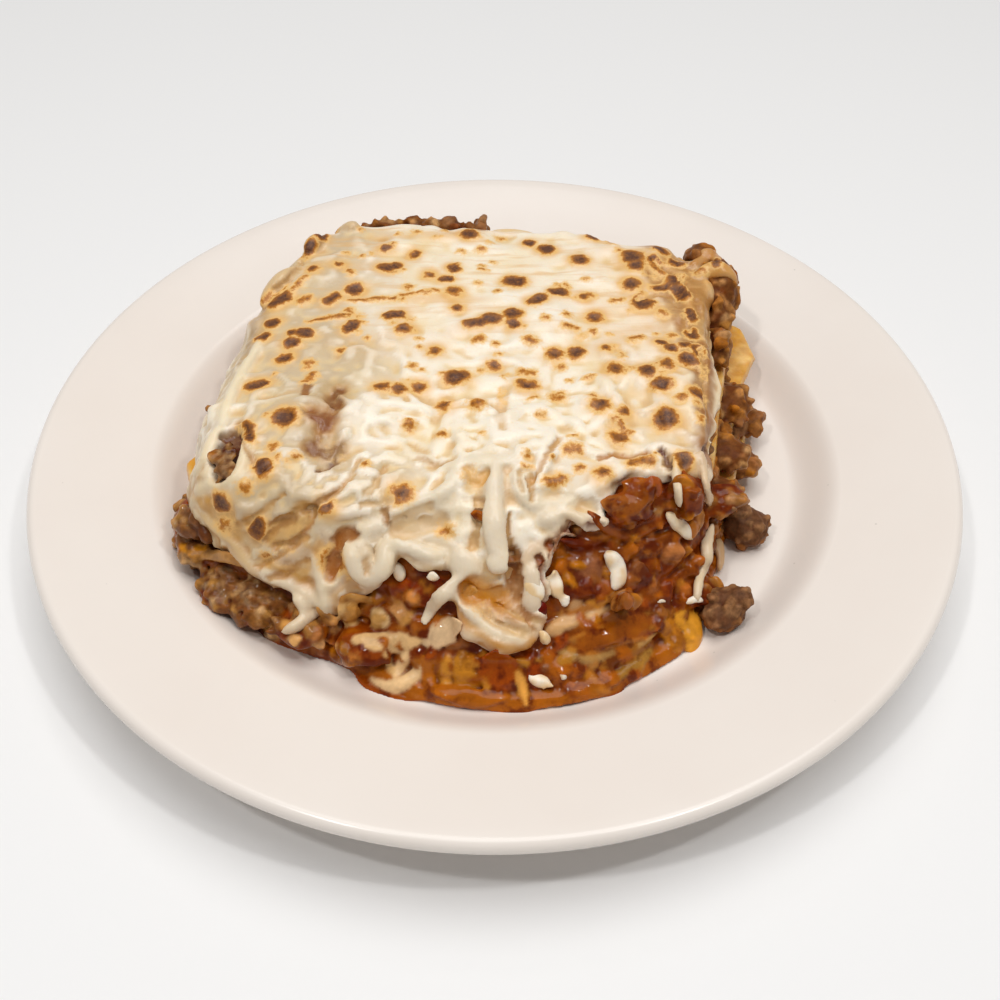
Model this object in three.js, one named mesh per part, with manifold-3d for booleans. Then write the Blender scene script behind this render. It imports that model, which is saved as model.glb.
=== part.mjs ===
// A square cut of baked lasagna in the well of a wide-rimmed ceramic plate.
// Three sheets of pasta and three layers of minced beef in tomato sauce lie on each other, and a
// blanket of melted mozzarella covers them. It hangs down the left side and the slumped front, and
// ends at the cut on the right and at the back. Loose crumbles of beef lie in the well beside it.
// Millimetres, +Z up. The origin is the middle of the plate's foot, on the table, and -Y is the front.

import * as THREE from "three";
import { mergeVertices } from "three/addons/utils/BufferGeometryUtils.js";
import Module from "manifold-3d";

const wasm = await Module();
wasm.setup();

// Plate
const PLATE_RADIUS = 115;
const RIM_HEIGHT = 21;
const WELL_EDGE_RADIUS = 86.7;
const WELL_EDGE_HEIGHT = 14.7;
const FLOOR_RADIUS = 77.5;
const FLOOR_HEIGHT = 7;
const LIP_RADIUS = 2;
const FOOT_RADIUS = 66;
const FOOT_WIDTH = 5;
const FOOT_HEIGHT = 2.6;
const PLATE_STEPS = 52;

// Lasagna
const MIDDLE = { x: -6, y: -4 };
const GAP = 0.35; // between pieces that touch
const CLEAR = 0.28; // kept where one piece is cut to fit another
const PASTA = 2.1;
const BEEF = 6.6;
const TOP_BEEF = 8.2;
const CHEESE = 3.9;
const DRAPE = 3.2;
const CUT_EDGE = 1.5;

// Heights at which the layers begin, from the plate's floor up
const PASTA_BOTTOM_Z = FLOOR_HEIGHT + GAP;
const BEEF_BOTTOM_Z = PASTA_BOTTOM_Z + PASTA + GAP;
const PASTA_MIDDLE_Z = BEEF_BOTTOM_Z + BEEF + GAP;
const BEEF_MIDDLE_Z = PASTA_MIDDLE_Z + PASTA + GAP;
const PASTA_TOP_Z = BEEF_MIDDLE_Z + BEEF + GAP;
const BEEF_TOP_Z = PASTA_TOP_Z + PASTA + GAP;
const CHEESE_Z = BEEF_TOP_Z + TOP_BEEF + GAP;

// The food's edge seen from above, just under the cheese and on the plate, from +X by way of +Y.
// The right side and the back are steep cuts, and the front has slumped out over the plate.
const TOP_EDGE = [
  [51, 2], [53, 20], [55, 38], [46, 48], [22, 53], [-4, 56], [-34, 57], [-47, 51], [-54, 36], [-59, 14],
  [-62, -8], [-64, -26], [-60, -38], [-46, -43], [-20, -43], [6, -43], [30, -42], [43, -37], [48, -22],
];
const FOOT_EDGE = [
  [65, 0], [69, 18], [70, 36], [60, 50], [32, 59], [0, 62], [-36, 63], [-56, 56], [-65, 36], [-71, 12],
  [-75, -10], [-76, -28], [-68, -43], [-54, -56], [-36, -65], [-16, -74], [6, -77], [26, -73], [42, -60],
  [51, -44], [56, -28],
];

// How far the cheese hangs, as a share of the way down to the plate, by degrees round the middle
const HANG = [
  [0, 0.08], [20, 0.1], [38, 0.02], [56, 0.06], [90, 0.08], [112, 0.1], [128, 0.24], [150, 0.46],
  [176, 0.56], [198, 0.46], [212, 0.5], [222, 0.58], [233, 0.62], [244, 0.7], [247, 0.52], [250, 0.4],
  [254, 0.2], [265, 0.22], [268, 0.46], [272, 0.62], [278, 0.7], [284, 0.64], [288, 0.4], [292, 0.14],
  [304, 0.08], [313, 0.1], [324, 0.12], [340, 0.07], [360, 0.08],
];

// Steps round the food, in degrees, finer where the front of the cheese is torn
const STEP = 7.5;
const TORN = { from: 236, to: 326, step: 2.8 };

const CERAMIC = new THREE.MeshStandardMaterial({ color: 0xefe7dd, roughness: 0.25, metalness: 0 });
const NOODLE = new THREE.MeshStandardMaterial({ color: 0xdca24a, roughness: 0.5, metalness: 0 });
const MINCE = new THREE.MeshStandardMaterial({ color: 0x7a4a2e, roughness: 0.55, metalness: 0 });
const MOZZARELLA = new THREE.MeshStandardMaterial({ color: 0xf1e3c8, roughness: 0.45, metalness: 0 });

const { degToRad, radToDeg, euclideanModulo, lerp, clamp, smoothstep } = THREE.MathUtils;
const turn = (angle) => euclideanModulo(radToDeg(angle), 360);
const heightAt = (share) => lerp(CHEESE_Z, FLOOR_HEIGHT, share);

// A closed solid from a geometry, for joining and cutting.
function solidOf(geometry) {
  const bare = geometry.index ? geometry.toNonIndexed() : geometry.clone();
  bare.deleteAttribute("normal");
  bare.deleteAttribute("uv");
  const merged = mergeVertices(bare, 1e-3);
  return new wasm.Manifold(new wasm.Mesh({
    numProp: 3,
    vertProperties: merged.attributes.position.array,
    triVerts: new Uint32Array(merged.index.array),
  }));
}

function geometryOf(solid) {
  const data = solid.getMesh();
  const positions = new Float32Array(data.numVert * 3);
  for (let i = 0; i < data.numVert; i++) {
    positions.set(data.vertProperties.subarray(i * data.numProp, i * data.numProp + 3), i * 3);
  }
  const geometry = new THREE.BufferGeometry();
  geometry.setAttribute("position", new THREE.BufferAttribute(positions, 3));
  geometry.setIndex(new THREE.BufferAttribute(new Uint32Array(data.triVerts), 1));
  geometry.computeVertexNormals();
  return geometry;
}

function indexed(positions, faces) {
  const geometry = new THREE.BufferGeometry();
  geometry.setAttribute("position", new THREE.Float32BufferAttribute(positions, 3));
  geometry.setIndex(faces);
  return geometry;
}

// The largest body of a solid: a scrap that a cut leaves loose is dropped.
function largest(solid) {
  return solid.decompose().reduce((a, b) => (b.volume() > a.volume() ? b : a));
}

function named(name, geometry, material) {
  const mesh = new THREE.Mesh(geometry, material);
  mesh.name = name;
  return mesh;
}

// A seeded stream of numbers from 0 to 1.
function draws(seed) {
  let state = seed;
  return () => {
    state = (state * 1664525 + 1013904223) % 4294967296;
    return state / 4294967296;
  };
}

// The distance from the middle to a smooth closed line through points, as a function of the angle.
function distanceTo(points) {
  const corners = points.map(([x, y]) => new THREE.Vector3(x - MIDDLE.x, y - MIDDLE.y, 0));
  const spots = new THREE.CatmullRomCurve3(corners, true, "centripetal").getPoints(720);
  const polar = spots.map((spot) => [turn(Math.atan2(spot.y, spot.x)), spot.length()]);
  polar.sort((a, b) => a[0] - b[0]);
  polar.push([polar[0][0] + 360, polar[0][1]]);
  polar.unshift([polar.at(-2)[0] - 360, polar.at(-2)[1]]);
  return (angle) => {
    const degrees = turn(angle);
    const next = polar.findIndex((spot) => spot[0] > degrees);
    const [from, to] = [polar[next - 1], polar[next]];
    return lerp(from[1], to[1], (degrees - from[0]) / (to[0] - from[0]));
  };
}

const topDistance = distanceTo(TOP_EDGE);
const footDistance = distanceTo(FOOT_EDGE);

// How far the cheese hangs at an angle, eased between the two nearest of the values above.
function hangAt(angle) {
  const degrees = turn(angle);
  const next = HANG.findIndex((pair) => pair[0] > degrees);
  const [from, to] = [HANG[next - 1], HANG[next]];
  return lerp(from[1], to[1], smoothstep(degrees, from[0], to[0]));
}

// An uneven line round the food, from -1 to 1, that repeats every full turn.
function uneven(angle, waves, seed) {
  const next = draws(seed);
  let sum = 0;
  for (const wave of waves) sum += Math.sin(wave * angle + next() * 2 * Math.PI);
  return sum / waves.length;
}

// The layers rise and sink a little towards their edges, more so higher up.
function sag(angle, distance, z) {
  const height = (z - PASTA_BOTTOM_Z) / (CHEESE_Z - PASTA_BOTTOM_Z);
  return 1.2 * smoothstep(distance, 20, 70) * height * uneven(angle, [2, 3, 5], 11);
}

// The distance from the middle to the food's side at a height.
function edgeAt(angle, z) {
  const down = clamp((CHEESE_Z - z) / (CHEESE_Z - FLOOR_HEIGHT), 0, 1);
  return lerp(topDistance(angle), footDistance(angle), down);
}

function directions() {
  const angles = [];
  let degrees = 0;
  while (degrees < 360 - STEP / 3) {
    angles.push(degToRad(degrees));
    degrees += degrees >= TORN.from && degrees < TORN.to ? TORN.step : STEP;
  }
  return angles;
}

// A closed surface round the middle: profileAt gives [distance, height] points from the axis below
// to the axis above, as many at each angle.
function turned(profileAt) {
  const angles = directions();
  const count = angles.length;
  const rows = angles.map(profileAt);
  const inner = rows[0].length - 2;
  const positions = [MIDDLE.x, MIDDLE.y, rows[0][0][1]];
  rows.forEach((row, i) => {
    for (const [distance, z] of row.slice(1, -1)) {
      positions.push(MIDDLE.x + distance * Math.cos(angles[i]), MIDDLE.y + distance * Math.sin(angles[i]), z);
    }
  });
  positions.push(MIDDLE.x, MIDDLE.y, rows[0].at(-1)[1]);
  const at = (i, j) => 1 + (i % count) * inner + j;
  const last = 1 + count * inner;
  const faces = [];
  for (let i = 0; i < count; i++) {
    faces.push(0, at(i + 1, 0), at(i, 0));
    for (let j = 0; j < inner - 1; j++) {
      faces.push(at(i, j), at(i + 1, j), at(i + 1, j + 1));
      faces.push(at(i, j), at(i + 1, j + 1), at(i, j + 1));
    }
    faces.push(at(i, inner - 1), at(i + 1, inner - 1), last);
  }
  return solidOf(indexed(positions, faces));
}

// An uneven pebble: a ball with a rough skin, stretched, and turned about +X and then +Z.
function pebble([x, y, z], size, next, { stretch = [1, 1, 1], tilt = 0, heading = 0 } = {}) {
  const faceted = new THREE.IcosahedronGeometry(1, 1).deleteAttribute("normal").deleteAttribute("uv");
  const ball = mergeVertices(faceted);
  const spots = ball.attributes.position;
  const point = new THREE.Vector3();
  for (let i = 0; i < spots.count; i++) {
    point.fromBufferAttribute(spots, i).multiplyScalar(size * (0.86 + 0.28 * next()));
    spots.setXYZ(i, point.x, point.y, point.z);
  }
  ball.scale(...stretch).rotateX(degToRad(tilt)).rotateZ(degToRad(heading)).translate(x, y, z);
  return solidOf(ball);
}

// A rope of melted cheese along a curve: a six-sided tube with rounded ends.
function rope(points, radius) {
  const sides = 6;
  const rings = (points.length - 1) * 2;
  const curve = new THREE.CatmullRomCurve3(points);
  const frames = curve.computeFrenetFrames(rings, false);
  const positions = [...curve.getPointAt(0).toArray()];
  for (let i = 0; i <= rings; i++) {
    const centre = curve.getPointAt(lerp(0.03, 0.97, i / rings));
    const fromMiddle = Math.abs((2 * i) / rings - 1) * 0.95;
    const thick = radius * Math.sqrt(1 - fromMiddle ** 3);
    for (let k = 0; k < sides; k++) {
      const a = (k * 2 * Math.PI) / sides;
      const out = frames.normals[i].clone().multiplyScalar(Math.cos(a));
      out.addScaledVector(frames.binormals[i], Math.sin(a));
      positions.push(...centre.clone().addScaledVector(out, thick).toArray());
    }
  }
  positions.push(...curve.getPointAt(1).toArray());
  const at = (i, k) => 1 + i * sides + (k % sides);
  const last = 1 + (rings + 1) * sides;
  const faces = [];
  for (let k = 0; k < sides; k++) {
    faces.push(0, at(0, k + 1), at(0, k));
    for (let i = 0; i < rings; i++) {
      faces.push(at(i, k), at(i, k + 1), at(i + 1, k + 1));
      faces.push(at(i, k), at(i + 1, k + 1), at(i + 1, k));
    }
    faces.push(at(rings, k), at(rings, k + 1), last);
  }
  return solidOf(indexed(positions, faces));
}

// The plate's upper face, from the middle of the well out to the lip, as [radius, height] points.
// The wall is an S: a hollow curve at the floor and a rounded shoulder at the rim.
function plateFace() {
  const face = [[0, FLOOR_HEIGHT], [FLOOR_RADIUS - 5, FLOOR_HEIGHT]];
  const wallSteps = 4;
  for (let i = 0; i <= wallSteps; i++) {
    face.push([
      lerp(FLOOR_RADIUS - 1.5, WELL_EDGE_RADIUS + 1.5, i / wallSteps),
      lerp(FLOOR_HEIGHT + 0.05, WELL_EDGE_HEIGHT, smoothstep(i / wallSteps, 0, 1)),
    ]);
  }
  face.push([PLATE_RADIUS - 12, RIM_HEIGHT - 2.1]);
  return face;
}

// The plate: a foot ring, a thick well, a rising rim and a rolled lip, turned in one piece.
function plate() {
  const under = [
    [0, FOOT_HEIGHT], [FOOT_RADIUS - FOOT_WIDTH - 0.8, FOOT_HEIGHT], [FOOT_RADIUS - FOOT_WIDTH, 0],
    [FOOT_RADIUS, 0], [FOOT_RADIUS + 1.5, FOOT_HEIGHT],
    [WELL_EDGE_RADIUS - 5, 5.6], [WELL_EDGE_RADIUS + 3, 11], [PLATE_RADIUS - 14, 14.6],
  ];
  const lip = [];
  const lipSteps = 4;
  for (let i = 0; i <= lipSteps; i++) {
    const a = degToRad(lerp(-80, 100, i / lipSteps));
    lip.push([PLATE_RADIUS - LIP_RADIUS * (1 - Math.cos(a)), RIM_HEIGHT - LIP_RADIUS * (1 - Math.sin(a))]);
  }
  const profile = [...under, ...lip, ...plateFace().reverse()];
  const points = profile.map(([r, z]) => new THREE.Vector2(r, z));
  return new THREE.LatheGeometry(points, PLATE_STEPS).rotateX(Math.PI / 2);
}

// The room that the plate takes: what lies in it is cut to stand clear of its upper face.
function plateClearance() {
  const face = plateFace().map(([r, z]) => new THREE.Vector2(r, z + CLEAR));
  const points = [new THREE.Vector2(0, -5), new THREE.Vector2(PLATE_RADIUS - 12, -5), ...face.reverse()];
  return solidOf(new THREE.LatheGeometry(points, PLATE_STEPS).rotateX(Math.PI / 2));
}

// The bulge at the left, a dip beside it and a raised fold, as x, y, how wide and how high
const MOUNDS = [[-40, -24, 13, 2.6], [-16, -31, 9, -1.4], [2, -30, 8, 1.2]];

// The blanket's upper side: its mounds, and low swells all over.
function swell(angle, distance) {
  const x = MIDDLE.x + distance * Math.cos(angle);
  const y = MIDDLE.y + distance * Math.sin(angle);
  let height = 0.7 * Math.sin(x / 11 + 1) * Math.sin(y / 9 - 0.5);
  for (const [middleX, middleY, wide, high] of MOUNDS) {
    height += high * Math.exp(-((x - middleX) ** 2 + (y - middleY) ** 2) / wide ** 2);
  }
  return height;
}

// The blanket's side at a share of its hang, a distance outside the food's side.
function hangPoint(angle, share, out) {
  const z = heightAt(hangAt(angle) * share);
  return [edgeAt(angle, z) + out, z];
}

// The blanket, or with spare the room it takes: its inside lies on the food, its top is rounded into
// its sides, and it is thick where it drapes and thin where it was cut.
function blanket(spare) {
  return turned((angle) => {
    const top = topDistance(angle);
    const side = lerp(CUT_EDGE, DRAPE, smoothstep(hangAt(angle), 0.1, 0.4)) + spare;
    const over = (distance, rise) => [distance, CHEESE_Z + sag(angle, distance, CHEESE_Z) + rise + spare];
    const inside = top + GAP - spare;
    const [hemInside, hemZ] = hangPoint(angle, 1, GAP - spare);
    const profile = [[0, CHEESE_Z - spare], over(inside, -2 * spare), [hemInside, hemZ - spare]];
    profile.push([hangPoint(angle, 1, GAP + side * 0.7)[0], hemZ - spare - 0.4]);
    const rough = 0.6 * uneven(angle, [7, 11, 17], 5);
    for (const share of [0.88, 0.58, 0.28]) {
      const [distance, z] = hangPoint(angle, share, GAP + side);
      profile.push([distance + rough * share, z + 0.5 * side * (1 - share)]);
    }
    profile.push(over(top + 0.75 * side, CHEESE * 0.35), over(top + 0.15 * side, CHEESE * 0.86));
    for (const share of [0.86, 0.6, 0.3]) {
      profile.push(over(top * share, CHEESE + swell(angle, top * share)));
    }
    profile.push([0, CHEESE_Z + CHEESE + spare + swell(0, 0)]);
    return profile;
  });
}

// A point on the food's side, given as degrees round the middle, a share of the way down and a
// distance out.
function sidePoint(degrees, share, out) {
  const angle = degToRad(degrees);
  const z = heightAt(share);
  const distance = edgeAt(angle, z) + out;
  return [MIDDLE.x + distance * Math.cos(angle), MIDDLE.y + distance * Math.sin(angle), z];
}

// Ropes of half-melted cheese on the front, through points as [degrees, share of the way down].
const ROPES = [
  { along: [[241.9, 0.12], [244.5, 0.3], [248.6, 0.38], [250.6, 0.28], [249.4, 0.16]], radius: 2.7 },
  { along: [[250.2, 0.16], [257.3, 0.23], [261.4, 0.27], [266.5, 0.24]], radius: 2.4 },
  { along: [[278.9, -0.05], [276.5, 0.12], [276.5, 0.25], [278, 0.36]], radius: 3 },
  { along: [[269, 0.32], [265.5, 0.4], [262, 0.45]], radius: 2 },
  { along: [[266.5, 0.42], [271.1, 0.56], [275.4, 0.62], [282, 0.64]], radius: 2.8 },
  { along: [[237, 0.4], [240.5, 0.5], [240.4, 0.58], [237.7, 0.64]], radius: 2 },
  { along: [[289, 0.1], [293, 0.03], [298.1, 0.03], [300.9, 0.08], [305, 0.07]], radius: 2 },
  { along: [[281.1, 0.34], [286, 0.26], [291, 0.18], [297, 0.1]], radius: 1.6 },
  { along: [[319, -0.1], [318.5, 0.1], [318, 0.3]], radius: 2.2 },
];

function ropes(spare) {
  return ROPES.map(({ along, radius }) => {
    const points = along.map(([degrees, share]) => new THREE.Vector3(...sidePoint(degrees, share, DRAPE)));
    return rope(points, radius + spare);
  });
}

// Where the blanket is open: the tear at the left, and the bare place over the sauce at the front right
const OPENINGS = [
  { at: [-67, -22, 29], size: 4.4, stretch: [1.9, 0.9, 1.3] },
  { at: [35, -49, 38.5], size: 12, stretch: [1.15, 1, 0.85] },
];

// The blanket with its ropes and without its openings.
function cheese() {
  const next = draws(3);
  const openings = OPENINGS.map(({ at, size, stretch }) => pebble(at, size, next, { stretch }));
  const open = blanket(0).subtract(wasm.Manifold.union(openings));
  return largest(wasm.Manifold.union([open, ...ropes(0)]));
}

// One layer across the whole cut. reach is how far its side stands out, by angle and share up.
function layer(bottom, thickness, reach, sideShares) {
  const top = bottom + thickness;
  const rim = (angle, z) => edgeAt(angle, z) + reach(angle, (z - bottom) / thickness);
  return turned((angle) => {
    const sides = sideShares.map((share) => {
      const z = bottom + thickness * share;
      return [rim(angle, z), z + sag(angle, rim(angle, z), z)];
    });
    return [[0, bottom], ...sides, [0, top]];
  });
}

// Under the cheese a layer keeps inside the food's side, and below its hem it may stand out.
function held(angle, z, reach) {
  const hem = heightAt(hangAt(angle));
  return lerp(reach, Math.min(reach, -0.3), smoothstep(z, hem - 3.5, hem - 0.8));
}

// Corners of the pasta that stand out, as [degrees, how wide, how far out].
const CORNERS = {
  pasta_bottom: [[272, 14, 1.5], [311, 7, 2]],
  pasta_middle: [[207, 9, 7], [186, 6, 6], [26, 8, 8], [345, 12, 3]],
  pasta_top: [[28, 10, 4], [120, 16, 2]],
};

// A cooked sheet with a wavy edge. spare makes it larger all round, as the room that it takes.
function sheet(name, bottom, seed, spare = 0) {
  const reach = (angle) => {
    let out = 0.5 + uneven(angle, [4, 7, 13], seed);
    for (const [degrees, wide, far] of CORNERS[name]) {
      const away = Math.abs(euclideanModulo(turn(angle) - degrees + 180, 360) - 180);
      out += far * Math.exp(-((away / wide) ** 2));
    }
    return held(angle, bottom + PASTA, out) + spare;
  };
  return layer(bottom - spare, PASTA + 2 * spare, reach, [0, 0.5, 1]);
}

// Lumps of beef and slivers of cheese that stand out of the layers, as [x, y], size and shape. A
// lump lies in the middle of its layer and is pressed flat to fit it, unless its shape says a height.
const SLIVER = { stretch: [0.55, 1.9, 0.5], tilt: -45, heading: 0 };
const LUMPS = {
  beef_bottom: [
    [[-62, -45.5], 7], [[-53, -51.5], 6.6], [[-69.5, -35], 5.6], [[-43, -58], 6.2], [[-29, -64], 5.6],
    [[44, -49], 5.4], [[61, -8], 5.8], [[64.5, 8], 5.6], [[-70, 8], 5.6], [[-29, 59.5], 6],
  ],
  beef_middle: [
    [[-67.5, -34], 6.6], [[-69.5, 3], 5.6], [[-58, -43], 5.6], [[56, -14], 5.6], [[60, 4], 5.8],
    [[53, -29], 5.4], [[-53, 50], 6], [[8, 57], 6], [[28, -60], 3.4, { ...SLIVER, z: 23.6 }],
  ],
  beef_top: [
    [[59, 37], 7, { z: 34 }], [[56, 28], 6], [[55.5, 46], 4.4, { z: 36.4 }], [[55, 14], 5.6],
    [[-32, 57.5], 5.4, { z: 35 }], [[-20, 57.5], 5.2, { z: 35.2 }],
    [[28, 50], 5.4], [[30, -41], 6.4, { z: 34.6 }], [[41, -38], 5.4, { z: 35 }],
    [[26, -53.5], 3.6, { ...SLIVER, z: 31.6 }],
  ],
};

// Minced beef in sauce: a craggy side, with lumps fused on where they keep clear of the sheets.
function filling(name, bottom, thickness, seed, sheetRooms) {
  const reach = (angle, share) => {
    const bulge = 1.5 * Math.sin(Math.PI * share) - 1.2;
    const crags = 1.5 * uneven(angle + 0.4 * share, [9, 16, 25], seed);
    return held(angle, bottom + thickness * share, bulge + crags);
  };
  const slab = layer(bottom, thickness, reach, [0, 0.3, 0.65, 1]);
  const next = draws(seed);
  const lumps = LUMPS[name].map(([[x, y], size, shape = {}]) => {
    const z = shape.z ?? bottom + thickness / 2;
    const flat = shape.z ? 1 : Math.min(1, (0.44 * thickness) / size);
    return pebble([x, y, z], size, next, { stretch: [1.2, 0.95, flat], heading: 360 * next(), ...shape });
  });
  return wasm.Manifold.union([slab, wasm.Manifold.union(lumps).subtract(sheetRooms)]);
}

// A loose crumble of beef that fell into the well: smaller pebbles round a larger one.
function crumble(x, y, size, seed) {
  const next = draws(seed);
  const rest = FLOOR_HEIGHT + size * 0.62;
  const parts = [pebble([x, y, rest + 0.5], size, next, { stretch: [1, 1, 0.85] })];
  const smaller = 3;
  for (let i = 0; i < smaller; i++) {
    const angle = ((i + 0.5 * next()) * 2 * Math.PI) / smaller;
    const out = size * (0.5 + 0.25 * next());
    const z = rest + size * (0.9 * next() - 0.2);
    parts.push(pebble([x + out * Math.cos(angle), y + out * Math.sin(angle), z], size * 0.55, next));
  }
  return wasm.Manifold.union(parts);
}

// Crumbles in the well, against the right of the cut, as x, y, size and seed
const CRUMBLES = {
  crumble_right_rear: [61, -27.5, 5.8, 5],
  crumble_right_front: [52.5, -52.5, 5.6, 8],
};

const SHEETS = {
  pasta_bottom: [PASTA_BOTTOM_Z, 3],
  pasta_middle: [PASTA_MIDDLE_Z, 7],
  pasta_top: [PASTA_TOP_Z, 19],
};
const FILLINGS = {
  beef_bottom: [BEEF_BOTTOM_Z, BEEF, 41],
  beef_middle: [BEEF_MIDDLE_Z, BEEF, 57],
  beef_top: [BEEF_TOP_Z, TOP_BEEF, 73],
};

const cheeseRoom = wasm.Manifold.union([blanket(CLEAR), ...ropes(CLEAR)]);
const plateRoom = plateClearance();
const sheetRooms = wasm.Manifold.union(
  Object.entries(SHEETS).map(([name, [bottom, seed]]) => sheet(name, bottom, seed, GAP + 0.1)),
);
const fillings = Object.entries(FILLINGS).map(([name, [bottom, thickness, seed]]) => {
  return [name, filling(name, bottom, thickness, seed, sheetRooms)];
});
// What the layers take of the room at their right: themselves, and their copies a gap farther out.
const layerRooms = wasm.Manifold.union([
  sheetRooms,
  ...fillings.map(([, solid]) => solid),
  ...fillings.map(([, solid]) => solid.translate([GAP, -GAP, 0])),
]);
const fitted = (solid) => geometryOf(largest(solid.subtract(cheeseRoom).subtract(plateRoom)));

const lasagna = new THREE.Group();
lasagna.add(named("plate", plate(), CERAMIC));
for (const [name, [bottom, seed]] of Object.entries(SHEETS)) {
  lasagna.add(named(name, fitted(sheet(name, bottom, seed)), NOODLE));
}
for (const [name, solid] of fillings) {
  lasagna.add(named(name, fitted(solid), MINCE));
}
lasagna.add(named("cheese_blanket", geometryOf(cheese()), MOZZARELLA));
for (const [name, [x, y, size, seed]] of Object.entries(CRUMBLES)) {
  lasagna.add(named(name, fitted(crumble(x, y, size, seed).subtract(layerRooms)), MINCE));
}

export default lasagna;
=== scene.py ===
# A plate of lasagna: the fine surfaces of the food and its plate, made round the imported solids.
# Sizes are millimetres times MM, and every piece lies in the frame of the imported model.

from math import cos, pi, radians, sin

import bpy
import numpy as np
from mathutils import Euler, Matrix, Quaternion, Vector
from mathutils.bvhtree import BVHTree


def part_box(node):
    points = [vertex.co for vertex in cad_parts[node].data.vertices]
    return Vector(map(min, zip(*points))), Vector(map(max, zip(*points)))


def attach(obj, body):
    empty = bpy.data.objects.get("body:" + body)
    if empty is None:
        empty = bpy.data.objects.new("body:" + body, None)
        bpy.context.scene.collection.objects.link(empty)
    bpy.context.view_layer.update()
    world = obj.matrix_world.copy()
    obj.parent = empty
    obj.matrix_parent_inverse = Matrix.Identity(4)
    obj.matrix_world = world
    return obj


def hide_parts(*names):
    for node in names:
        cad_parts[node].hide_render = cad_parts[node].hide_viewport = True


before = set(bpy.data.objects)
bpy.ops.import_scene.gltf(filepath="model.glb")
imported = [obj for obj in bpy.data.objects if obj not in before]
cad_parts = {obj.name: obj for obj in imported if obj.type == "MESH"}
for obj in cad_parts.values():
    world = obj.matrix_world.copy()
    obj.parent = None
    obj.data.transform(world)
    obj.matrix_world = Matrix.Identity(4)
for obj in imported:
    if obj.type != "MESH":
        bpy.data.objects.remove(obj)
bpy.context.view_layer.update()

MM = 0.001

# The camera stands where the photograph's stood. Its place and turn come from two rings of the plate,
# the lip and the well's edge. Through it, a pixel of the photograph is a line into the scene.
CAMERA_AT = Vector((0, -201.9, 209.6)) * MM
CAMERA_AIM = Vector((1.17, -8.98, 0)) * MM
CAMERA_ROLL = radians(0.237)
PICTURE_SIDE = 1000
FOCAL_PIXELS = 1082
SENSOR = 36
NEAREST_SHOWN = 10 * MM

camera = bpy.data.objects.new("camera", bpy.data.cameras.new("camera"))
bpy.context.scene.collection.objects.link(camera)
bpy.context.scene.camera = camera
camera.data.sensor_width = SENSOR
camera.data.lens = SENSOR * FOCAL_PIXELS / PICTURE_SIDE
camera.data.clip_start = NEAREST_SHOWN
camera.location = CAMERA_AT
camera.rotation_mode = "QUATERNION"
looking = (CAMERA_AIM - CAMERA_AT).to_track_quat("-Z", "Y")
camera.rotation_quaternion = looking @ Quaternion((0, 0, 1), CAMERA_ROLL)


def line_through(x, y):
    """The direction from the camera through a pixel of the photograph."""
    across, up = x - PICTURE_SIDE / 2, PICTURE_SIDE / 2 - y
    return (camera.rotation_quaternion @ Vector((across, up, -FOCAL_PIXELS))).normalized()


# The light is soft and white: a wide bright ceiling over the plate, two small lamps over the camera and
# one behind the plate for the glints on sauce and cheese, and the white room itself.
ROOM_LIGHT, ROOM_COLOUR = 0.26, (1, 0.995, 0.985, 1)
KEY_FROM, KEY_STRENGTH, KEY_BREADTH = Vector((0.06, 0.2, 1)), 1.5, radians(44)
LAMP_SIDE = 40 * MM
LAMPS = {
    "lamp_left": (Vector((-230, -210, 620)) * MM, 0.78),
    "lamp_right": (Vector((250, -160, 620)) * MM, 0.7),
    "lamp_behind": (Vector((-20, 330, 600)) * MM, 0.12),
}

world = bpy.data.worlds.new("room")
bpy.context.scene.world = world
world.use_nodes = True
background = world.node_tree.nodes["Background"]
background.inputs["Color"].default_value = ROOM_COLOUR
background.inputs["Strength"].default_value = ROOM_LIGHT
bpy.context.scene.view_settings.view_transform = "Standard"


def light(name, kind, place, strength):
    """A light at a place, turned to the middle of the plate."""
    lamp = bpy.data.objects.new(name, bpy.data.lights.new(name, kind))
    bpy.context.scene.collection.objects.link(lamp)
    lamp.location = place
    lamp.rotation_mode = "QUATERNION"
    lamp.rotation_quaternion = (-place).to_track_quat("-Z", "Y")
    lamp.data.energy = strength
    return lamp.data


light("light_above", "SUN", KEY_FROM, KEY_STRENGTH).angle = KEY_BREADTH
for name, (place, watts) in LAMPS.items():
    light(name, "AREA", place, watts).size = LAMP_SIDE


# The floor is a plain pale table top, matt, and much larger than the view.
FLOOR_SIDE = 6000 * MM
FLOOR_DROP = 0.02 * MM
FLOOR_COLOUR, FLOOR_ROUGHNESS = "#f0efee", 0.9


def colour(code):
    """An sRGB hex colour as the linear one that a shader takes."""
    parts = [int(code[i:i + 2], 16) / 255 for i in (1, 3, 5)]
    return np.array([p / 12.92 if p <= 0.04045 else ((p + 0.055) / 1.055) ** 2.4 for p in parts] + [1])


def darkened(code, shares):
    """An sRGB hex colour that keeps only these shares of its red, green and blue."""
    parts = [int(int(code[i:i + 2], 16) * share) for i, share in zip((1, 3, 5), shares)]
    return "#%02x%02x%02x" % tuple(parts)


def feed(tree, node, inputs):
    """Links or sets each of these inputs of a shader node, by its name or number."""
    for socket, value in inputs.items():
        if isinstance(value, bpy.types.NodeSocket):
            tree.links.new(value, node.inputs[socket])
        else:
            node.inputs[socket].default_value = value


def add(tree, kind, inputs=None, take=0, **settings):
    """A shader node with its settings and inputs, given as the output that is taken from it."""
    node = tree.nodes.new("ShaderNode" + kind)
    for name, value in settings.items():
        setattr(node, name, value)
    feed(tree, node, inputs or {})
    return node.outputs[take]


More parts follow.
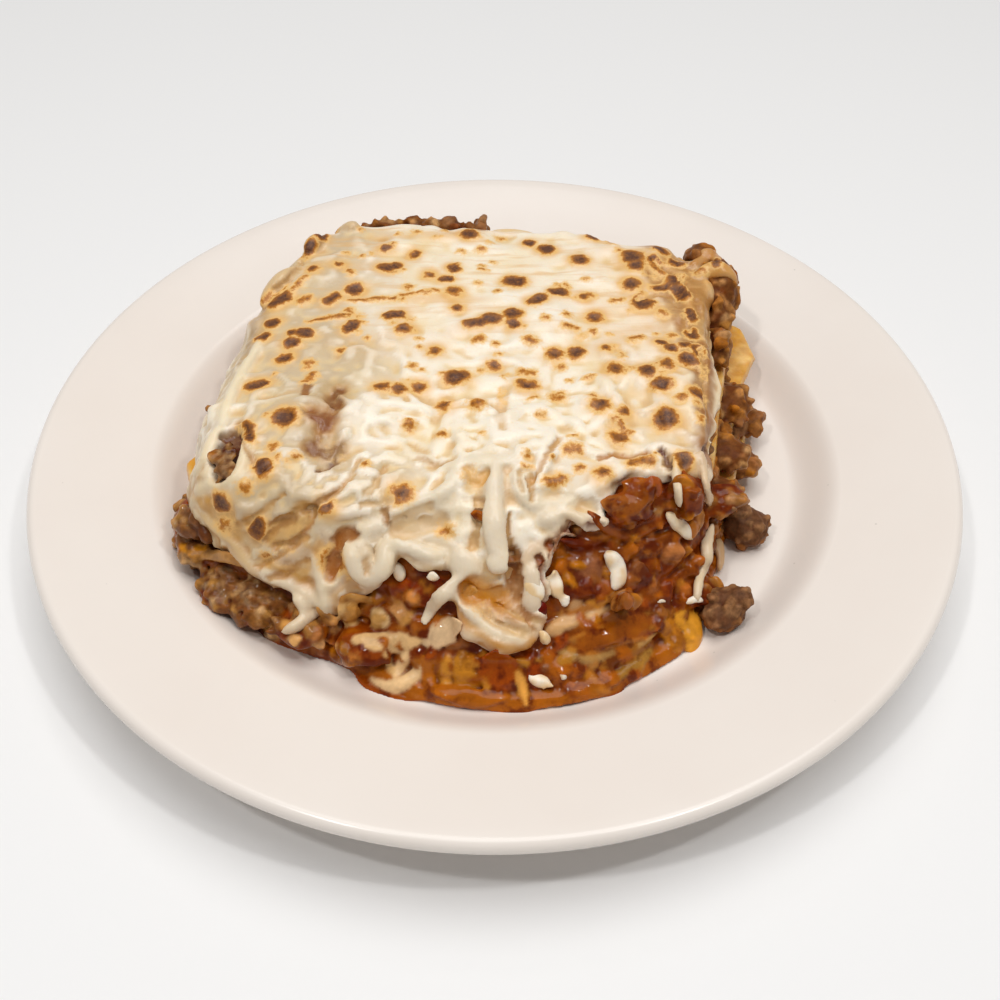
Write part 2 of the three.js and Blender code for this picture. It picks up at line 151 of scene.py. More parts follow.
def made_of(name):
    """A new material, its nodes, its shader and the place that its patterns read."""
    stuff = bpy.data.materials.new(name)
    stuff.use_nodes = True
    tree = stuff.node_tree
    return stuff, tree, tree.nodes["Principled BSDF"], add(tree, "TexCoord", take="Object")


bpy.ops.mesh.primitive_plane_add(size=FLOOR_SIDE, location=(0, 0, -FLOOR_DROP))
floor = bpy.context.object
floor.name = "floor"
paper, tree, shader, place = made_of("matt white board")
feed(tree, shader, {"Base Color": colour(FLOOR_COLOUR), "Roughness": FLOOR_ROUGHNESS})
floor.data.materials.append(paper)


# The plate is glazed stoneware, turned in one piece: a foot ring, a thick well, a wide rising rim and
# a rolled lip. Its half section is drawn as a line of edges and spun round the middle.
PLATE_TURNS = 256
PLATE_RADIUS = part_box("plate")[1].x
RIM_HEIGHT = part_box("plate")[1].z
LIP_RADIUS = 2 * MM
LIP_FROM, LIP_SWEEP = -80, 180
LIP_INSIDE, LIP_INSIDE_DROP = 5 * MM, 0.75 * MM
WELL_FLOOR = 7 * MM
WELL_WALL_FROM, WELL_WALL_TO = 76 * MM, 88.2 * MM
WELL_EDGE_HEIGHT = 14.7 * MM
RIM_TURNS_UP_AT = 103 * MM
RIM_TURNS_UP_HEIGHT = RIM_HEIGHT - 2.1 * MM
FOOT_OUTSIDE, FOOT_WIDTH, FOOT_HEIGHT, FOOT_ROUNDING = 66 * MM, 5 * MM, 2.6 * MM, 0.55
FOOT_FILLETS = 1.2 * MM, 1.5 * MM
UNDERSIDE = [(81.7 * MM, 5.6 * MM), (89.7 * MM, 11 * MM), (101 * MM, 14.6 * MM)]
WALL_STEPS, LIP_STEPS, FOOT_STEPS = 22, 14, 8
GLAZE_COLOUR, GLAZE_SHADE = "#f0e7de", "#ebe0d6"
CLOUD_SIZE, RIPPLE_SIZE = 28 * MM, 9 * MM
SPECK_COLOUR, SPECK_SPACING = "#a39a8f", 9 * MM


def eased(x, low, high):
    """0 below low, 1 above high and a smooth step between, for numbers and arrays."""
    share = np.clip((x - low) / (high - low), 0, 1)
    return share * share * (3 - 2 * share)


def link(name, mesh):
    """A new object for a mesh, selected alone and active."""
    piece = bpy.data.objects.new(name, mesh)
    bpy.context.scene.collection.objects.link(piece)
    pick(piece)
    return piece


def pick(piece, *others):
    """Selects only these, with the first one active."""
    bpy.ops.object.select_all(action="DESELECT")
    for thing in (piece, *others):
        thing.select_set(True)
    bpy.context.view_layer.objects.active = piece


def modify(piece, kind, **settings):
    """Adds a modifier and applies it."""
    pick(piece)
    modifier = piece.modifiers.new(kind, kind)
    for name, value in settings.items():
        setattr(modifier, name, value)
    bpy.ops.object.modifier_apply(modifier=modifier.name)


def edit(piece, operator, **settings):
    """Runs an operator of edit mode on the whole piece."""
    pick(piece)
    bpy.ops.object.mode_set(mode="EDIT")
    bpy.ops.mesh.select_all(action="SELECT")
    operator(**settings)
    bpy.ops.object.mode_set(mode="OBJECT")


def smooth(piece):
    piece.data.polygons.foreach_set("use_smooth", [True] * len(piece.data.polygons))


def plate_section():
    """The half section from the middle of the underside round the lip to the middle of the well."""
    line = [(0, FOOT_HEIGHT), (FOOT_OUTSIDE - FOOT_WIDTH - FOOT_FILLETS[0], FOOT_HEIGHT)]
    for i in range(FOOT_STEPS + 1):
        a = pi * i / FOOT_STEPS
        out = FOOT_OUTSIDE - FOOT_WIDTH / 2 - FOOT_WIDTH / 2 * cos(a)
        line.append((out, FOOT_HEIGHT * FOOT_ROUNDING * (1 - sin(a))))
    line.append((FOOT_OUTSIDE + FOOT_FILLETS[1], FOOT_HEIGHT))
    line += UNDERSIDE
    for i in range(LIP_STEPS + 1):
        a = radians(LIP_FROM + LIP_SWEEP * i / LIP_STEPS)
        line.append((PLATE_RADIUS - LIP_RADIUS * (1 - cos(a)), RIM_HEIGHT - LIP_RADIUS * (1 - sin(a))))
    line.append((PLATE_RADIUS - LIP_INSIDE, RIM_HEIGHT - LIP_INSIDE_DROP))
    line.append((RIM_TURNS_UP_AT, RIM_TURNS_UP_HEIGHT))
    for i in range(WALL_STEPS, -1, -1):
        share = i / WALL_STEPS
        out = WELL_WALL_FROM + (WELL_WALL_TO - WELL_WALL_FROM) * share
        line.append((out, WELL_FLOOR + (WELL_EDGE_HEIGHT - WELL_FLOOR) * float(eased(share, 0, 1))))
    line.append((0, WELL_FLOOR))
    return line


section = bpy.data.meshes.new("plate")
points = [(r, 0, z) for r, z in plate_section()]
section.from_pydata(points, [(i, i + 1) for i in range(len(points) - 1)], [])
plate = link("plate_glazed", section)
edit(plate, bpy.ops.mesh.spin, steps=PLATE_TURNS, angle=2 * pi, center=(0, 0, 0), axis=(0, 0, 1))
edit(plate, bpy.ops.mesh.remove_doubles, threshold=0.001 * MM)
edit(plate, bpy.ops.mesh.normals_make_consistent, inside=False)
smooth(plate)

# Glazed stoneware: warm white, glossy but soft, with a faint cloudiness and a few fine dark specks.
glaze, tree, shader, place = made_of("warm white stoneware glaze")
cloud = add(tree, "TexNoise", {"Vector": place, "Scale": 1 / CLOUD_SIZE, "Detail": 3})
speck = add(tree, "TexVoronoi", {"Vector": place, "Scale": 1 / SPECK_SPACING})
speck_near = add(tree, "MapRange", {"Value": speck, "From Min": 0.02, "From Max": 0.035,
                                    "To Min": 0.35, "To Max": 0})
tone = add(tree, "Mix", {0: cloud, 6: colour(GLAZE_COLOUR), 7: colour(GLAZE_SHADE)}, 2, data_type="RGBA")
tone = add(tree, "Mix", {0: speck_near, 6: tone, 7: colour(SPECK_COLOUR)}, 2, data_type="RGBA")
ripple = add(tree, "TexNoise", {"Vector": place, "Scale": 1 / RIPPLE_SIZE, "Detail": 2})
bump = add(tree, "Bump", {"Height": ripple, "Strength": 0.06, "Distance": 0.4 * MM})
feed(tree, shader, {"Base Color": tone, "Normal": bump, "Roughness": 0.24, "IOR": 1.5})
plate.data.materials.append(glaze)
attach(plate, "root")
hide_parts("plate")


# Minced beef in tomato sauce: three layers, each a slab whose cut sides are covered with crumbles of
# meat from 2 to 4 mm, cooked brown. A crumble is a rough pebble. The pebbles are fused with a fine copy
# of the slab into one skin, and each place of the skin takes the colour of what lies there.
MIDDLE = Vector((-6, -4, 0)) * MM
LAYER_VOXEL = 0.5 * MM
FLAT_MERGE = 0.12 * MM
CRUMBLE_SIZES = (0.9 * MM, 2.1 * MM)
CRUMBLE_SPACING = 1.9 * MM
# Crumbles lie on faces this far from the middle, behind the front, that point less than this far up.
CORE_RADIUS, FRONT_LINE, SIDE_SLOPE = 38 * MM, -33 * MM, 0.8
CHEESE_GAP = 0.4 * MM
LEAST_SAUCE = 0.15
BEEF_LAYERS = ["beef_bottom", "beef_middle", "beef_top"]
BEEF_TONES = ["#a67a4c", "#94683a", "#b0885a", "#845628", "#a07036", "#8e6c4a"]
SAUCE_TONES = ["#a6560a", "#b0680e", "#864006", "#a8641a", "#944a08"]
# The middle one of these colours is painted shade, laid into the crevices of the beef.
BEEF_UNDER, CREVICE_SHADE, OLD_SAUCE = "#70421f", "#481002", "#6e3412"
SAUCE_DEEP, SAUCE_BRIGHT = "#561402", "#b4680e"
FRINGE_CRUMBLES, FRINGE_BOX, FRINGE_SIZES = 80, ((-38, 58.2, 34), (-2, 62.6, 39.2)), (0.9, 1.9)
PEBBLE_SHAPES, CHIPS, CHIPPED_FROM = 7, 9, (0.55, 0.85)
LATTICE_SHIFT = 37.7
TRIES_PER_PLACE, FAR = 4, 1000
dice = np.random.default_rng(7)


def copy_of(node, name):
    """A fine piece starts as a copy of its solid, with the triangles' corners merged."""
    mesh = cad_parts[node].data.copy()
    mesh.materials.clear()
    piece = link(name, mesh)
    edit(piece, bpy.ops.mesh.remove_doubles, threshold=0.01 * MM)
    return piece


def numbers(source, what, width=3):
    """A number or a place for each element of a mesh, as an array."""
    found = np.empty(len(source) * width, np.float32)
    source.foreach_get(what, found)
    return found.reshape(-1, width) if width > 1 else found


def spots_of(piece):
    return numbers(piece.data.vertices, "co")


def normals_of(piece):
    return numbers(piece.data.vertex_normals, "vector")


def move_to(piece, spots):
    piece.data.vertices.foreach_set("co", spots.astype(np.float32).ravel())
    piece.data.update()


def lattice(cells, seed):
    """A number from -1 to 1 for each whole-numbered place. The large factors only stir its bits."""
    x, y, z = np.moveaxis(cells, -1, 0)
    stirred = x * 73856093 ^ y * 19349663 ^ z * 83492791 ^ seed * 2654435761
    stirred = (stirred ^ (stirred >> 13)) * 1274126177 & 0x7FFFFFFF
    return (stirred ^ (stirred >> 16)) % 65536 / 32767.5 - 1


def rough(spots, grain, seed, octaves=1):
    """Smooth random numbers from about -1 to 1 at places in space, with bumps a grain apart."""
    total = np.zeros(len(spots))
    for octave in range(octaves):
        scaled = spots.astype(np.float64) / (grain / 2 ** octave) + LATTICE_SHIFT
        base = np.floor(scaled).astype(np.int64)
        part = eased(scaled - base, 0, 1)
        for corner in range(8):
            step = np.array([corner & 1, corner >> 1 & 1, corner >> 2 & 1])
            weight = np.prod(np.where(step, part, 1 - part), axis=1)
            total += weight * lattice(base + step, seed + octave) / 2 ** octave
    return total


def pebble_shape(seed):
    """The corners and faces of a rough lump of radius 1, chipped flat on some sides."""
    bpy.ops.mesh.primitive_ico_sphere_add(subdivisions=3, radius=1)
    ball = bpy.context.object
    corners = spots_of(ball).astype(float)
    for chip in dice.normal(0, 1, (CHIPS, 3)):
        way = chip / np.linalg.norm(chip)
        over = corners @ way - dice.uniform(*CHIPPED_FROM)
        corners -= np.maximum(over, 0)[:, None] * way
    corners *= 1 + 0.22 * rough(corners, 0.6, seed, 2)[:, None]
    faces = np.array([list(face.vertices) for face in ball.data.polygons])
    bpy.data.objects.remove(ball)
    return corners, faces


PEBBLES = [pebble_shape(seed) for seed in range(PEBBLE_SHAPES)]


def store(piece, name, values, domain="POINT"):
    """Stores a number or a colour for each vertex or face of a piece."""
    colours = values.ndim > 1
    stored = piece.data.attributes.new(name, "FLOAT_COLOR" if colours else "FLOAT", domain)
    stored.data.foreach_set("color" if colours else "value", values.astype(np.float32).ravel())


def paint_faces(piece, tones, wetness):
    """Gives each face its colour and its wetness, which fusing passes on."""
    count = len(piece.data.polygons)
    store(piece, "tone", np.broadcast_to(tones, (count, 4)), "FACE")
    store(piece, "wet", np.broadcast_to(wetness, (count,)), "FACE")


def pebble(middle, radii, turn, tone, wet):
    """A lump with three radii, turned: its corners, its faces, its colour and its wetness."""
    shape, sides = PEBBLES[dice.integers(len(PEBBLES))]
    return (shape * np.array(radii)) @ np.array(turn.to_matrix()).T + np.array(middle), sides, tone, wet


def gathered(name, shapes):
    """One mesh of many closed shapes, each with its colour and its wetness."""
    corners, faces, tones, wetness = [], [], [], []
    count = 0
    for shape, sides, tone, wet in shapes:
        corners.append(shape)
        faces.append(sides + count)
        tones.append(np.tile(tone, (len(sides), 1)))
        wetness.append(np.full(len(sides), wet))
        count += len(shape)
    mesh = bpy.data.meshes.new(name)
    mesh.from_pydata(np.concatenate(corners).tolist(), [], np.concatenate(faces).tolist())
    piece = link(name, mesh)
    paint_faces(piece, np.concatenate(tones), np.concatenate(wetness))
    return piece


def tangled():
    """A random turn."""
    return Euler(dice.uniform(0, 2 * pi, 3)).to_quaternion()


def neighbours_mean(piece, values, times):
    """Values of the vertices, evened out with their neighbours."""
    ends = np.empty(len(piece.data.edges) * 2, np.int32)
    piece.data.edges.foreach_get("vertices", ends)
    a, b = ends.reshape(-1, 2).T
    count = np.bincount(a, minlength=len(values)) + np.bincount(b, minlength=len(values)) + 1
    columns = values.reshape(len(values), -1).T.astype(float)
    for _ in range(times):
        for i, column in enumerate(columns):
            total = np.bincount(a, column[b], len(column)) + np.bincount(b, column[a], len(column))
            columns[i] = (column + total) / count
    return columns.T.reshape(values.shape)


def tree_of(*pieces):
    """The surface of pieces, for finding the nearest place on it or where a line meets it."""
    corners, faces = [], []
    for piece in pieces:
        faces += [[i + len(corners) for i in face.vertices] for face in piece.data.polygons]
        corners += [vertex.co.copy() for vertex in piece.data.vertices]
    return BVHTree.FromPolygons(corners, faces)


def fuse(piece, shapes, voxel, flat=0, soften=1):
    """Joins shapes to a piece, makes one skin of them, and passes on their colour and wetness."""
    pick(piece, gathered("shapes", shapes))
    bpy.ops.object.join()
    tones = numbers(piece.data.attributes["tone"].data, "color", 4)
    wetness = numbers(piece.data.attributes["wet"].data, "value", 1)
    source = tree_of(piece)
    modify(piece, "REMESH", mode="VOXEL", voxel_size=voxel, adaptivity=flat)
    nearest = [source.find_nearest(v.co)[2] for v in piece.data.vertices]
    modify(piece, "SMOOTH", factor=0.5, iterations=soften)
    smooth(piece)
    return neighbours_mean(piece, tones[nearest], 1), neighbours_mean(piece, wetness[nearest], 2)


def mixed(a, b, share):
    return a + (b - a) * share


def pick_tone(tones):
    return colour(tones[dice.integers(len(tones))])


def sauciness(spot):
    """How much sauce covers a place: most at the front, some at the right, little at the left."""
    right_way, front_way = spot[0] / MM, -spot[1] / MM
    front = float(eased(front_way, 20, 45) * eased(right_way, -48, -22))
    return max(front, 0.5 * float(eased(right_way, 20, 50)), LEAST_SAUCE)


cheese_near = tree_of(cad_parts["cheese_blanket"])


def scattered(piece, spacing, shown):
    """Random places at least a spacing apart, and their outward directions, where shown allows them."""
    mesh = piece.data
    mesh.calc_loop_triangles()
    sides = numbers(mesh.loop_triangles, "vertices", 3).astype(int)
    corners = spots_of(piece)[sides].astype(float)
    crossing = np.cross(corners[:, 1] - corners[:, 0], corners[:, 2] - corners[:, 0])
    areas = np.linalg.norm(crossing, axis=1) + 1e-15
    outs = crossing / areas[:, None]
    areas = np.where(shown(corners.mean(axis=1), outs), areas, 0)
    tries = int(areas.sum() / 2 / spacing ** 2 * TRIES_PER_PLACE)
    found, taken = [], np.full((tries, 3), float(FAR))
    for i, index in enumerate(dice.choice(len(areas), tries, p=areas / areas.sum())):
        u, v = sorted(dice.uniform(0, 1, 2))
        spot = corners[index][0] * u + corners[index][1] * (v - u) + corners[index][2] * (1 - v)
        if np.min(np.linalg.norm(taken - spot, axis=1)) >= spacing:
            taken[i] = spot
            found.append((Vector(spot), Vector(outs[index])))
    return found


def crumble_places(piece):
    """Crumbles on the side of a slab, pressed in where the cheese lies close to it."""

    def on_side(middles, outs):
        outer = np.hypot(middles[:, 0] - MIDDLE.x, middles[:, 1] - MIDDLE.y) > CORE_RADIUS
        return outer & (np.abs(outs[:, 2]) < SIDE_SLOPE) & (middles[:, 1] > FRONT_LINE)

    places = []
    for spot, out in scattered(piece, CRUMBLE_SPACING, on_side):
        size = dice.uniform(*CRUMBLE_SIZES)
        middle = spot - out * size * dice.uniform(0.05, 0.7)
        away = cheese_near.find_nearest(middle)[3]
        if away < size + CHEESE_GAP:
            middle -= out * (size + CHEESE_GAP - away)
        sauce = min(1, sauciness(middle) * dice.uniform(0.3, 1.2))
        tone = mixed(pick_tone(BEEF_TONES), pick_tone(SAUCE_TONES), sauce)
        places.append(pebble(middle, size * dice.uniform(0.7, 1.3, 3), tangled(), tone, sauce))
    return places


# Beef cooked in sauce: grainy and dull where it is dry, with oil and tomato that gloss it where it is
# wet. Its paint holds painted shade in the crevices and a painted highlight on the crests, and the sauce
# runs from a deep red brown to amber. Noise runs mostly from 0.3 to 0.7.
NOISE_RANGE = {"From Min": 0.3, "From Max": 0.7}
beef_stuff, tree, shader, place = made_of("minced beef in tomato sauce")
tone = add(tree, "Attribute", take="Color", attribute_name="paint")
wet = add(tree, "Attribute", take="Fac", attribute_name="wet")
grain = add(tree, "TexNoise", {"Vector": place, "Scale": 1 / (1 * MM), "Detail": 5, "Roughness": 0.65})
patch = add(tree, "TexNoise", {"Vector": place, "Scale": 1 / (4 * MM), "Detail": 3})
grain_part = add(tree, "MapRange", {"Value": grain, **NOISE_RANGE, "To Min": -0.36, "To Max": 0.36})
patch_part = add(tree, "MapRange", {"Value": patch, **NOISE_RANGE, "To Min": 0.88, "To Max": 1.12})
dry = add(tree, "MapRange", {"Value": wet, "To Min": 1, "To Max": 0.15})
strength = add(tree, "Math", {0: grain_part, 1: dry, 2: patch_part}, operation="MULTIPLY_ADD")
shaded = add(tree, "VectorMath", {0: tone, "Scale": strength}, operation="SCALE")
pooled = add(tree, "TexNoise", {"Vector": place, "Scale": 1 / (4.5 * MM), "Detail": 3})
deep = add(tree, "MapRange", {"Value": pooled, "From Min": 0.5, "From Max": 0.62, "To Max": 0.8})
bright = add(tree, "MapRange", {"Value": pooled, "From Min": 0.44, "From Max": 0.3, "To Max": 0.4})
depth = add(tree, "RGBToBW", {"Color": tone})
soaking = add(tree, "MapRange", {"Value": depth, "From Min": 0.14, "From Max": 0.4, "To Min": 1, "To Max": 0})
sauce_there = add(tree, "Math", {0: soaking, 1: wet}, operation="MULTIPLY")
for pools, code in ((deep, SAUCE_DEEP), (bright, SAUCE_BRIGHT)):
    share = add(tree, "Math", {0: pools, 1: sauce_there}, operation="MULTIPLY")
    shaded = add(tree, "Mix", {0: share, 6: shaded, 7: colour(code)}, 2, data_type="RGBA")
dullness = add(tree, "MapRange", {"Value": wet, "To Min": 0.5, "To Max": 0.08})
fine = add(tree, "TexNoise", {"Vector": place, "Scale": 1 / (0.6 * MM), "Detail": 3})
bump = add(tree, "Bump", {"Height": fine, "Strength": 0.35, "Distance": 0.2 * MM})
feed(tree, shader, {"Base Color": shaded, "Roughness": dullness, "Normal": bump,
                    "IOR": 1.34, "Specular IOR Level": 0.1})

# The same beef where sauce runs over it: a film of oil and tomato gives it a second, sharper shine.
sauce_stuff = beef_stuff.copy()
sauce_stuff.name = "tomato sauce with beef"
tree = sauce_stuff.node_tree
feed(tree, tree.nodes["Principled BSDF"], {"Coat Weight": 0.5, "Coat Roughness": 0.05, "Coat IOR": 1.33})


def hollows_of(piece, times):
    """How far each vertex lies below the mean of those round it, in millimetres."""
    spots = spots_of(piece)
    return np.sum((neighbours_mean(piece, spots, times) - spots) * normals_of(piece), axis=1) / MM


def finish_beef(piece, stuff, tones, wetness, *nodes):
    """Roughens the skin where it is dry, paints shade into its crevices and a highlight onto its
    crests, and hands the piece over.
    """
    spots, out = spots_of(piece), normals_of(piece)
    relief = 0.16 * rough(spots, 1.3 * MM, 3) + 0.22 * rough(spots, 3.2 * MM, 4)
    relief *= 1 - 0.8 * wetness
    move_to(piece, spots + out * relief[:, None] * MM)
    hollow = hollows_of(piece, 8)
    # Painted shade darkens the crevices, and a painted highlight lightens the crests.
    shade = 0.85 * eased(hollow, 0.03, 0.36)[:, None]
    crest_highlight = 1 + 0.35 * eased(-hollow, 0.03, 0.35)[:, None]
    tones[:, :3] = mixed(tones[:, :3] * crest_highlight, colour(CREVICE_SHADE)[:3], shade)
    store(piece, "paint", tones)
    store(piece, "wet", wetness)
    piece.data.materials.append(stuff)
    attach(piece, "root")
    if nodes:
        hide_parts(*nodes)


def fringe():
    """Crumbles that stand up behind the cheese at the back left."""
    places = []
    for _ in range(FRINGE_CRUMBLES):
        middle = Vector(dice.uniform(*FRINGE_BOX)) * MM
        size = dice.uniform(*FRINGE_SIZES) * MM
        tone = mixed(pick_tone(BEEF_TONES), colour(OLD_SAUCE), dice.uniform(0.3, 0.9))
        places.append(pebble(middle, size * dice.uniform(0.8, 1.4, 3), tangled(), tone, 0.4))
    return places


for node in BEEF_LAYERS:
    slab = copy_of(node, node + "_minced")
    places = crumble_places(slab)
    if node == "beef_top":
        places += fringe()
    paint_faces(slab, colour(BEEF_UNDER), 0.4)
    tones, wetness = fuse(slab, places, LAYER_VOXEL, FLAT_MERGE)
    finish_beef(slab, beef_stuff, tones, wetness, node)


# Two loose crumbles of beef lie in the well at the right: lumps of 1 to 4 mm stuck together, brown,
# with sauce soaking up from the plate. Each is a cluster of pebbles round its solid, fused.
LOOSE_VOXEL = 0.38 * MM
LOOSE_LUMPS, LUMP_SIZES = 90, (0.7, 1.6)
SOAKED_TO, DRY_FROM = 8 * MM, 12.5 * MM
LOOSE_UNDER, LOOSE_BROWN, SOAKED_TONE = "#6a452c", "#80583a", "#96561c"
for node in ("crumble_right_rear", "crumble_right_front"):
    crumble = copy_of(node, node + "_minced")
    modify(crumble, "SMOOTH", factor=0.5, iterations=2)
    low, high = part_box(node)
    centre = (low + high) / 2
    lumps = []
    corners = spots_of(crumble)
    for corner in corners[dice.choice(len(corners), LOOSE_LUMPS, replace=False)]:
        size = dice.uniform(*LUMP_SIZES) * MM
        inward = (centre - Vector(corner)).normalized()
        middle = Vector(corner) + inward * size * dice.uniform(0.1, 1.1)
        soaked = 1 - float(eased(middle.z, SOAKED_TO, DRY_FROM))
        brown = mixed(pick_tone(BEEF_TONES), colour(LOOSE_BROWN), 0.85)
        tone = mixed(brown, colour(SOAKED_TONE), 0.6 * soaked)
        lumps.append(pebble(middle, size * dice.uniform(0.8, 1.25, 3), tangled(), tone, soaked))
    paint_faces(crumble, colour(LOOSE_UNDER), 0.2)
    tones, wetness = fuse(crumble, lumps, LOOSE_VOXEL)
    finish_beef(crumble, beef_stuff, tones, wetness, node)


# Three cooked sheets of egg pasta run through the cut. Their edges are soft and wavy, yellow where they
# stand clear and stained by the sauce where they are under it.
PASTA_VOXEL = 0.55 * MM
PASTA_SHEETS = ["pasta_bottom", "pasta_middle", "pasta_top"]
PASTA_YELLOW, PASTA_PALE, PASTA_STAIN = "#eaaa3c", "#f4ca80", "#b4600e"
WAVE_HEIGHT, WAVE_LENGTH = 0.4 * MM, 7 * MM

# Cooked pasta: moist and a little see-through, in two yellows, with sauce soaked in here and there.
pasta_stuff, tree, shader, place = made_of("cooked egg pasta")
wet = add(tree, "Attribute", take="Fac", attribute_name="wet")
blotch = add(tree, "TexNoise", {"Vector": place, "Scale": 1 / (5 * MM), "Detail": 4})
blotched = add(tree, "MapRange", {"Value": blotch, "From Min": 0.35, "From Max": 0.65})
tone = add(tree, "Mix", {0: blotched, 6: colour(PASTA_YELLOW), 7: colour(PASTA_PALE)}, 2, data_type="RGBA")
stain = add(tree, "TexNoise", {"Vector": place, "Scale": 1 / (3 * MM), "Detail": 5})
stained = add(tree, "MapRange", {"Value": stain, "From Min": 0.35, "From Max": 0.6, "To Max": 0.7})
share = add(tree, "Math", {0: wet, 1: stained}, operation="MULTIPLY")
tone = add(tree, "Mix", {0: share, 6: tone, 7: colour(PASTA_STAIN)}, 2, data_type="RGBA")
fine = add(tree, "TexNoise", {"Vector": place, "Scale": 1 / (1.5 * MM), "Detail": 3})
bump = add(tree, "Bump", {"Height": fine, "Strength": 0.25, "Distance": 0.2 * MM})
feed(tree, shader, {"Base Color": tone, "Normal": bump, "Roughness": 0.3, "IOR": 1.4,
                    "Subsurface Weight": 0.3, "Subsurface Radius": (1, 0.6, 0.25),
                    "Subsurface Scale": 2 * MM})

for node in PASTA_SHEETS:
    noodle = copy_of(node, node + "_cooked")
    modify(noodle, "SUBSURF", levels=1, render_levels=1, subdivision_type="SIMPLE")
    modify(noodle, "REMESH", mode="VOXEL", voxel_size=PASTA_VOXEL, adaptivity=FLAT_MERGE)
    modify(noodle, "SMOOTH", factor=0.5, iterations=3)
    spots = spots_of(noodle)
    wave = WAVE_HEIGHT * rough(spots, WAVE_LENGTH, 21, 2)
    move_to(noodle, spots + wave[:, None] * np.array([0, 0, 1]))
    smooth(noodle)
    store(noodle, "wet", np.array([sauciness(spot) for spot in spots_of(noodle)]))
    noodle.data.materials.append(pasta_stuff)
    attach(noodle, "root")
    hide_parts(node)


# The slumped front: sauce has run over the layers there and holds them as one wet mass, with crumbles,
# bits of tomato and onion, folds of pasta and a thin pool of sauce at its foot. It is a copy of the six
# layers, swollen until they meet. Its main parts lie where the photograph shows them, with small ones
# at random between.
FRONT_VOXEL = 0.46 * MM
FRONT_CUT = -27 * MM
SWELL = 0.3 * MM
SOAKED_BEEF = "#863a06"
FRONT_TONES = {"pasta_bottom": "#a4580c", "pasta_middle": "#884004", "pasta_top": "#803c06"}
# A line of sight that passes by the food ends at one of two heights, for pixels above and below a row.
BACK_PIXELS, BACK_HEIGHT, FRONT_HEIGHT = 400, 39 * MM, 6 * MM
# Lines laid on the food are evened out this many times, and a strap's section has this many sides.
EVENED, STRAP_SIDES = 4, 12

food_surface = tree_of(*[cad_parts[name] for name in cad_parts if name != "plate"])


def at_height(x, y, height):
    """The place at a height that a pixel of the photograph lies over."""
    ray = line_through(x, y)
    return CAMERA_AT + ray * ((height - CAMERA_AT.z) / ray.z)


def shown_at(x, y, surface=food_surface):
    """The place and outward direction that a pixel shows, or the nearest ones where it passes by."""
    spot, normal, _, _ = surface.ray_cast(CAMERA_AT, line_through(x, y))
    if spot is None:
        height = BACK_HEIGHT if y < BACK_PIXELS else FRONT_HEIGHT
        spot, normal, _, _ = surface.find_nearest(at_height(x, y, height))
    return spot, normal


def laid_line(line, lift, surface=food_surface, steps=5):
    """Places and outward directions along pixels of the photograph, on a surface and evened out."""
    pixels = []
    for (x0, y0), (x1, y1) in zip(line, line[1:]):
        pixels += [(x0 + (x1 - x0) * i / steps, y0 + (y1 - y0) * i / steps) for i in range(steps)]
    hits = [shown_at(x, y, surface) for x, y in pixels + [line[-1]]]
    spots = np.array([hit[0] for hit in hits])
    outs = np.array([hit[1] for hit in hits])
    for _ in range(EVENED):
        for row in (spots, outs):
            row[1:-1] = (row[:-2] + 2 * row[1:-1] + row[2:]) / 4
    outs /= np.linalg.norm(outs, axis=1)[:, None]
    return spots + outs * lift, outs


def strap(spots, outs, wide, thick, tone, wet, ends):
    """A flattened rope along places: half its width and half its thickness, thinner at its ends."""
    count, sides = len(spots), STRAP_SIDES
    ahead = np.gradient(spots, axis=0)
    across = np.cross(ahead, outs)
    across /= np.linalg.norm(across, axis=1)[:, None] + 1e-12
    full = (1 - (1 - ends) * np.abs(np.linspace(-1, 1, count)) ** 3)[:, None]
    turns = [2 * pi * k / sides for k in range(sides)]
    rings = [spots + (across * (wide * cos(a)) + outs * (thick * sin(a))) * full for a in turns]
    tips = [spots[0] - ahead[0] * 0.5, spots[-1] + ahead[-1] * 0.5]
    corners = np.vstack([np.stack(rings, 1).reshape(-1, 3), tips])
    start, last = count * sides, (count - 1) * sides
    faces = []
    for k in range(sides):
        m = (k + 1) % sides
        faces += [(start, k, m), (start + 1, last + m, last + k)]
        for i in range(0, last, sides):
            faces += [(i + k, i + sides + k, i + sides + m), (i + k, i + sides + m, i + m)]
    return corners, np.array(faces), tone, wet


def laid_strap(line, wide, thick, tone, lift, wet=1.0, ends=0.5):
    """A strap along pixels of the photograph, with its widths and its lift in millimetres."""
    spots, outs = laid_line(line, lift * MM)
    return strap(spots, outs, wide * MM, thick * MM, tone, wet, ends)


def laid_pebble(x, y, radii, tone, wet, lift):
    """A lump where a pixel shows the food: its radii, the third one outward, and lift in millimetres."""
    spot, normal = shown_at(x, y)
    turn = normal.to_track_quat("Z", "Y") @ Quaternion((0, 0, 1), dice.uniform(0, 2 * pi))
    return pebble(spot + normal * (lift * MM), np.array(radii) * MM, turn, colour(tone), wet)


def bar(x, y, across, down, bend=0):
    """Three pixels in a row, with the middle one moved by a bend."""
    return [(x - across, y - down), (x, y + bend), (x + across, y + down)]


def on_cheese(x, y):
    """Whether a pixel of the photograph shows the blanket."""
    spot, _, _, _ = food_surface.ray_cast(CAMERA_AT, line_through(x, y))
    return spot is not None and cheese_near.find_nearest(spot)[3] < TOUCHING


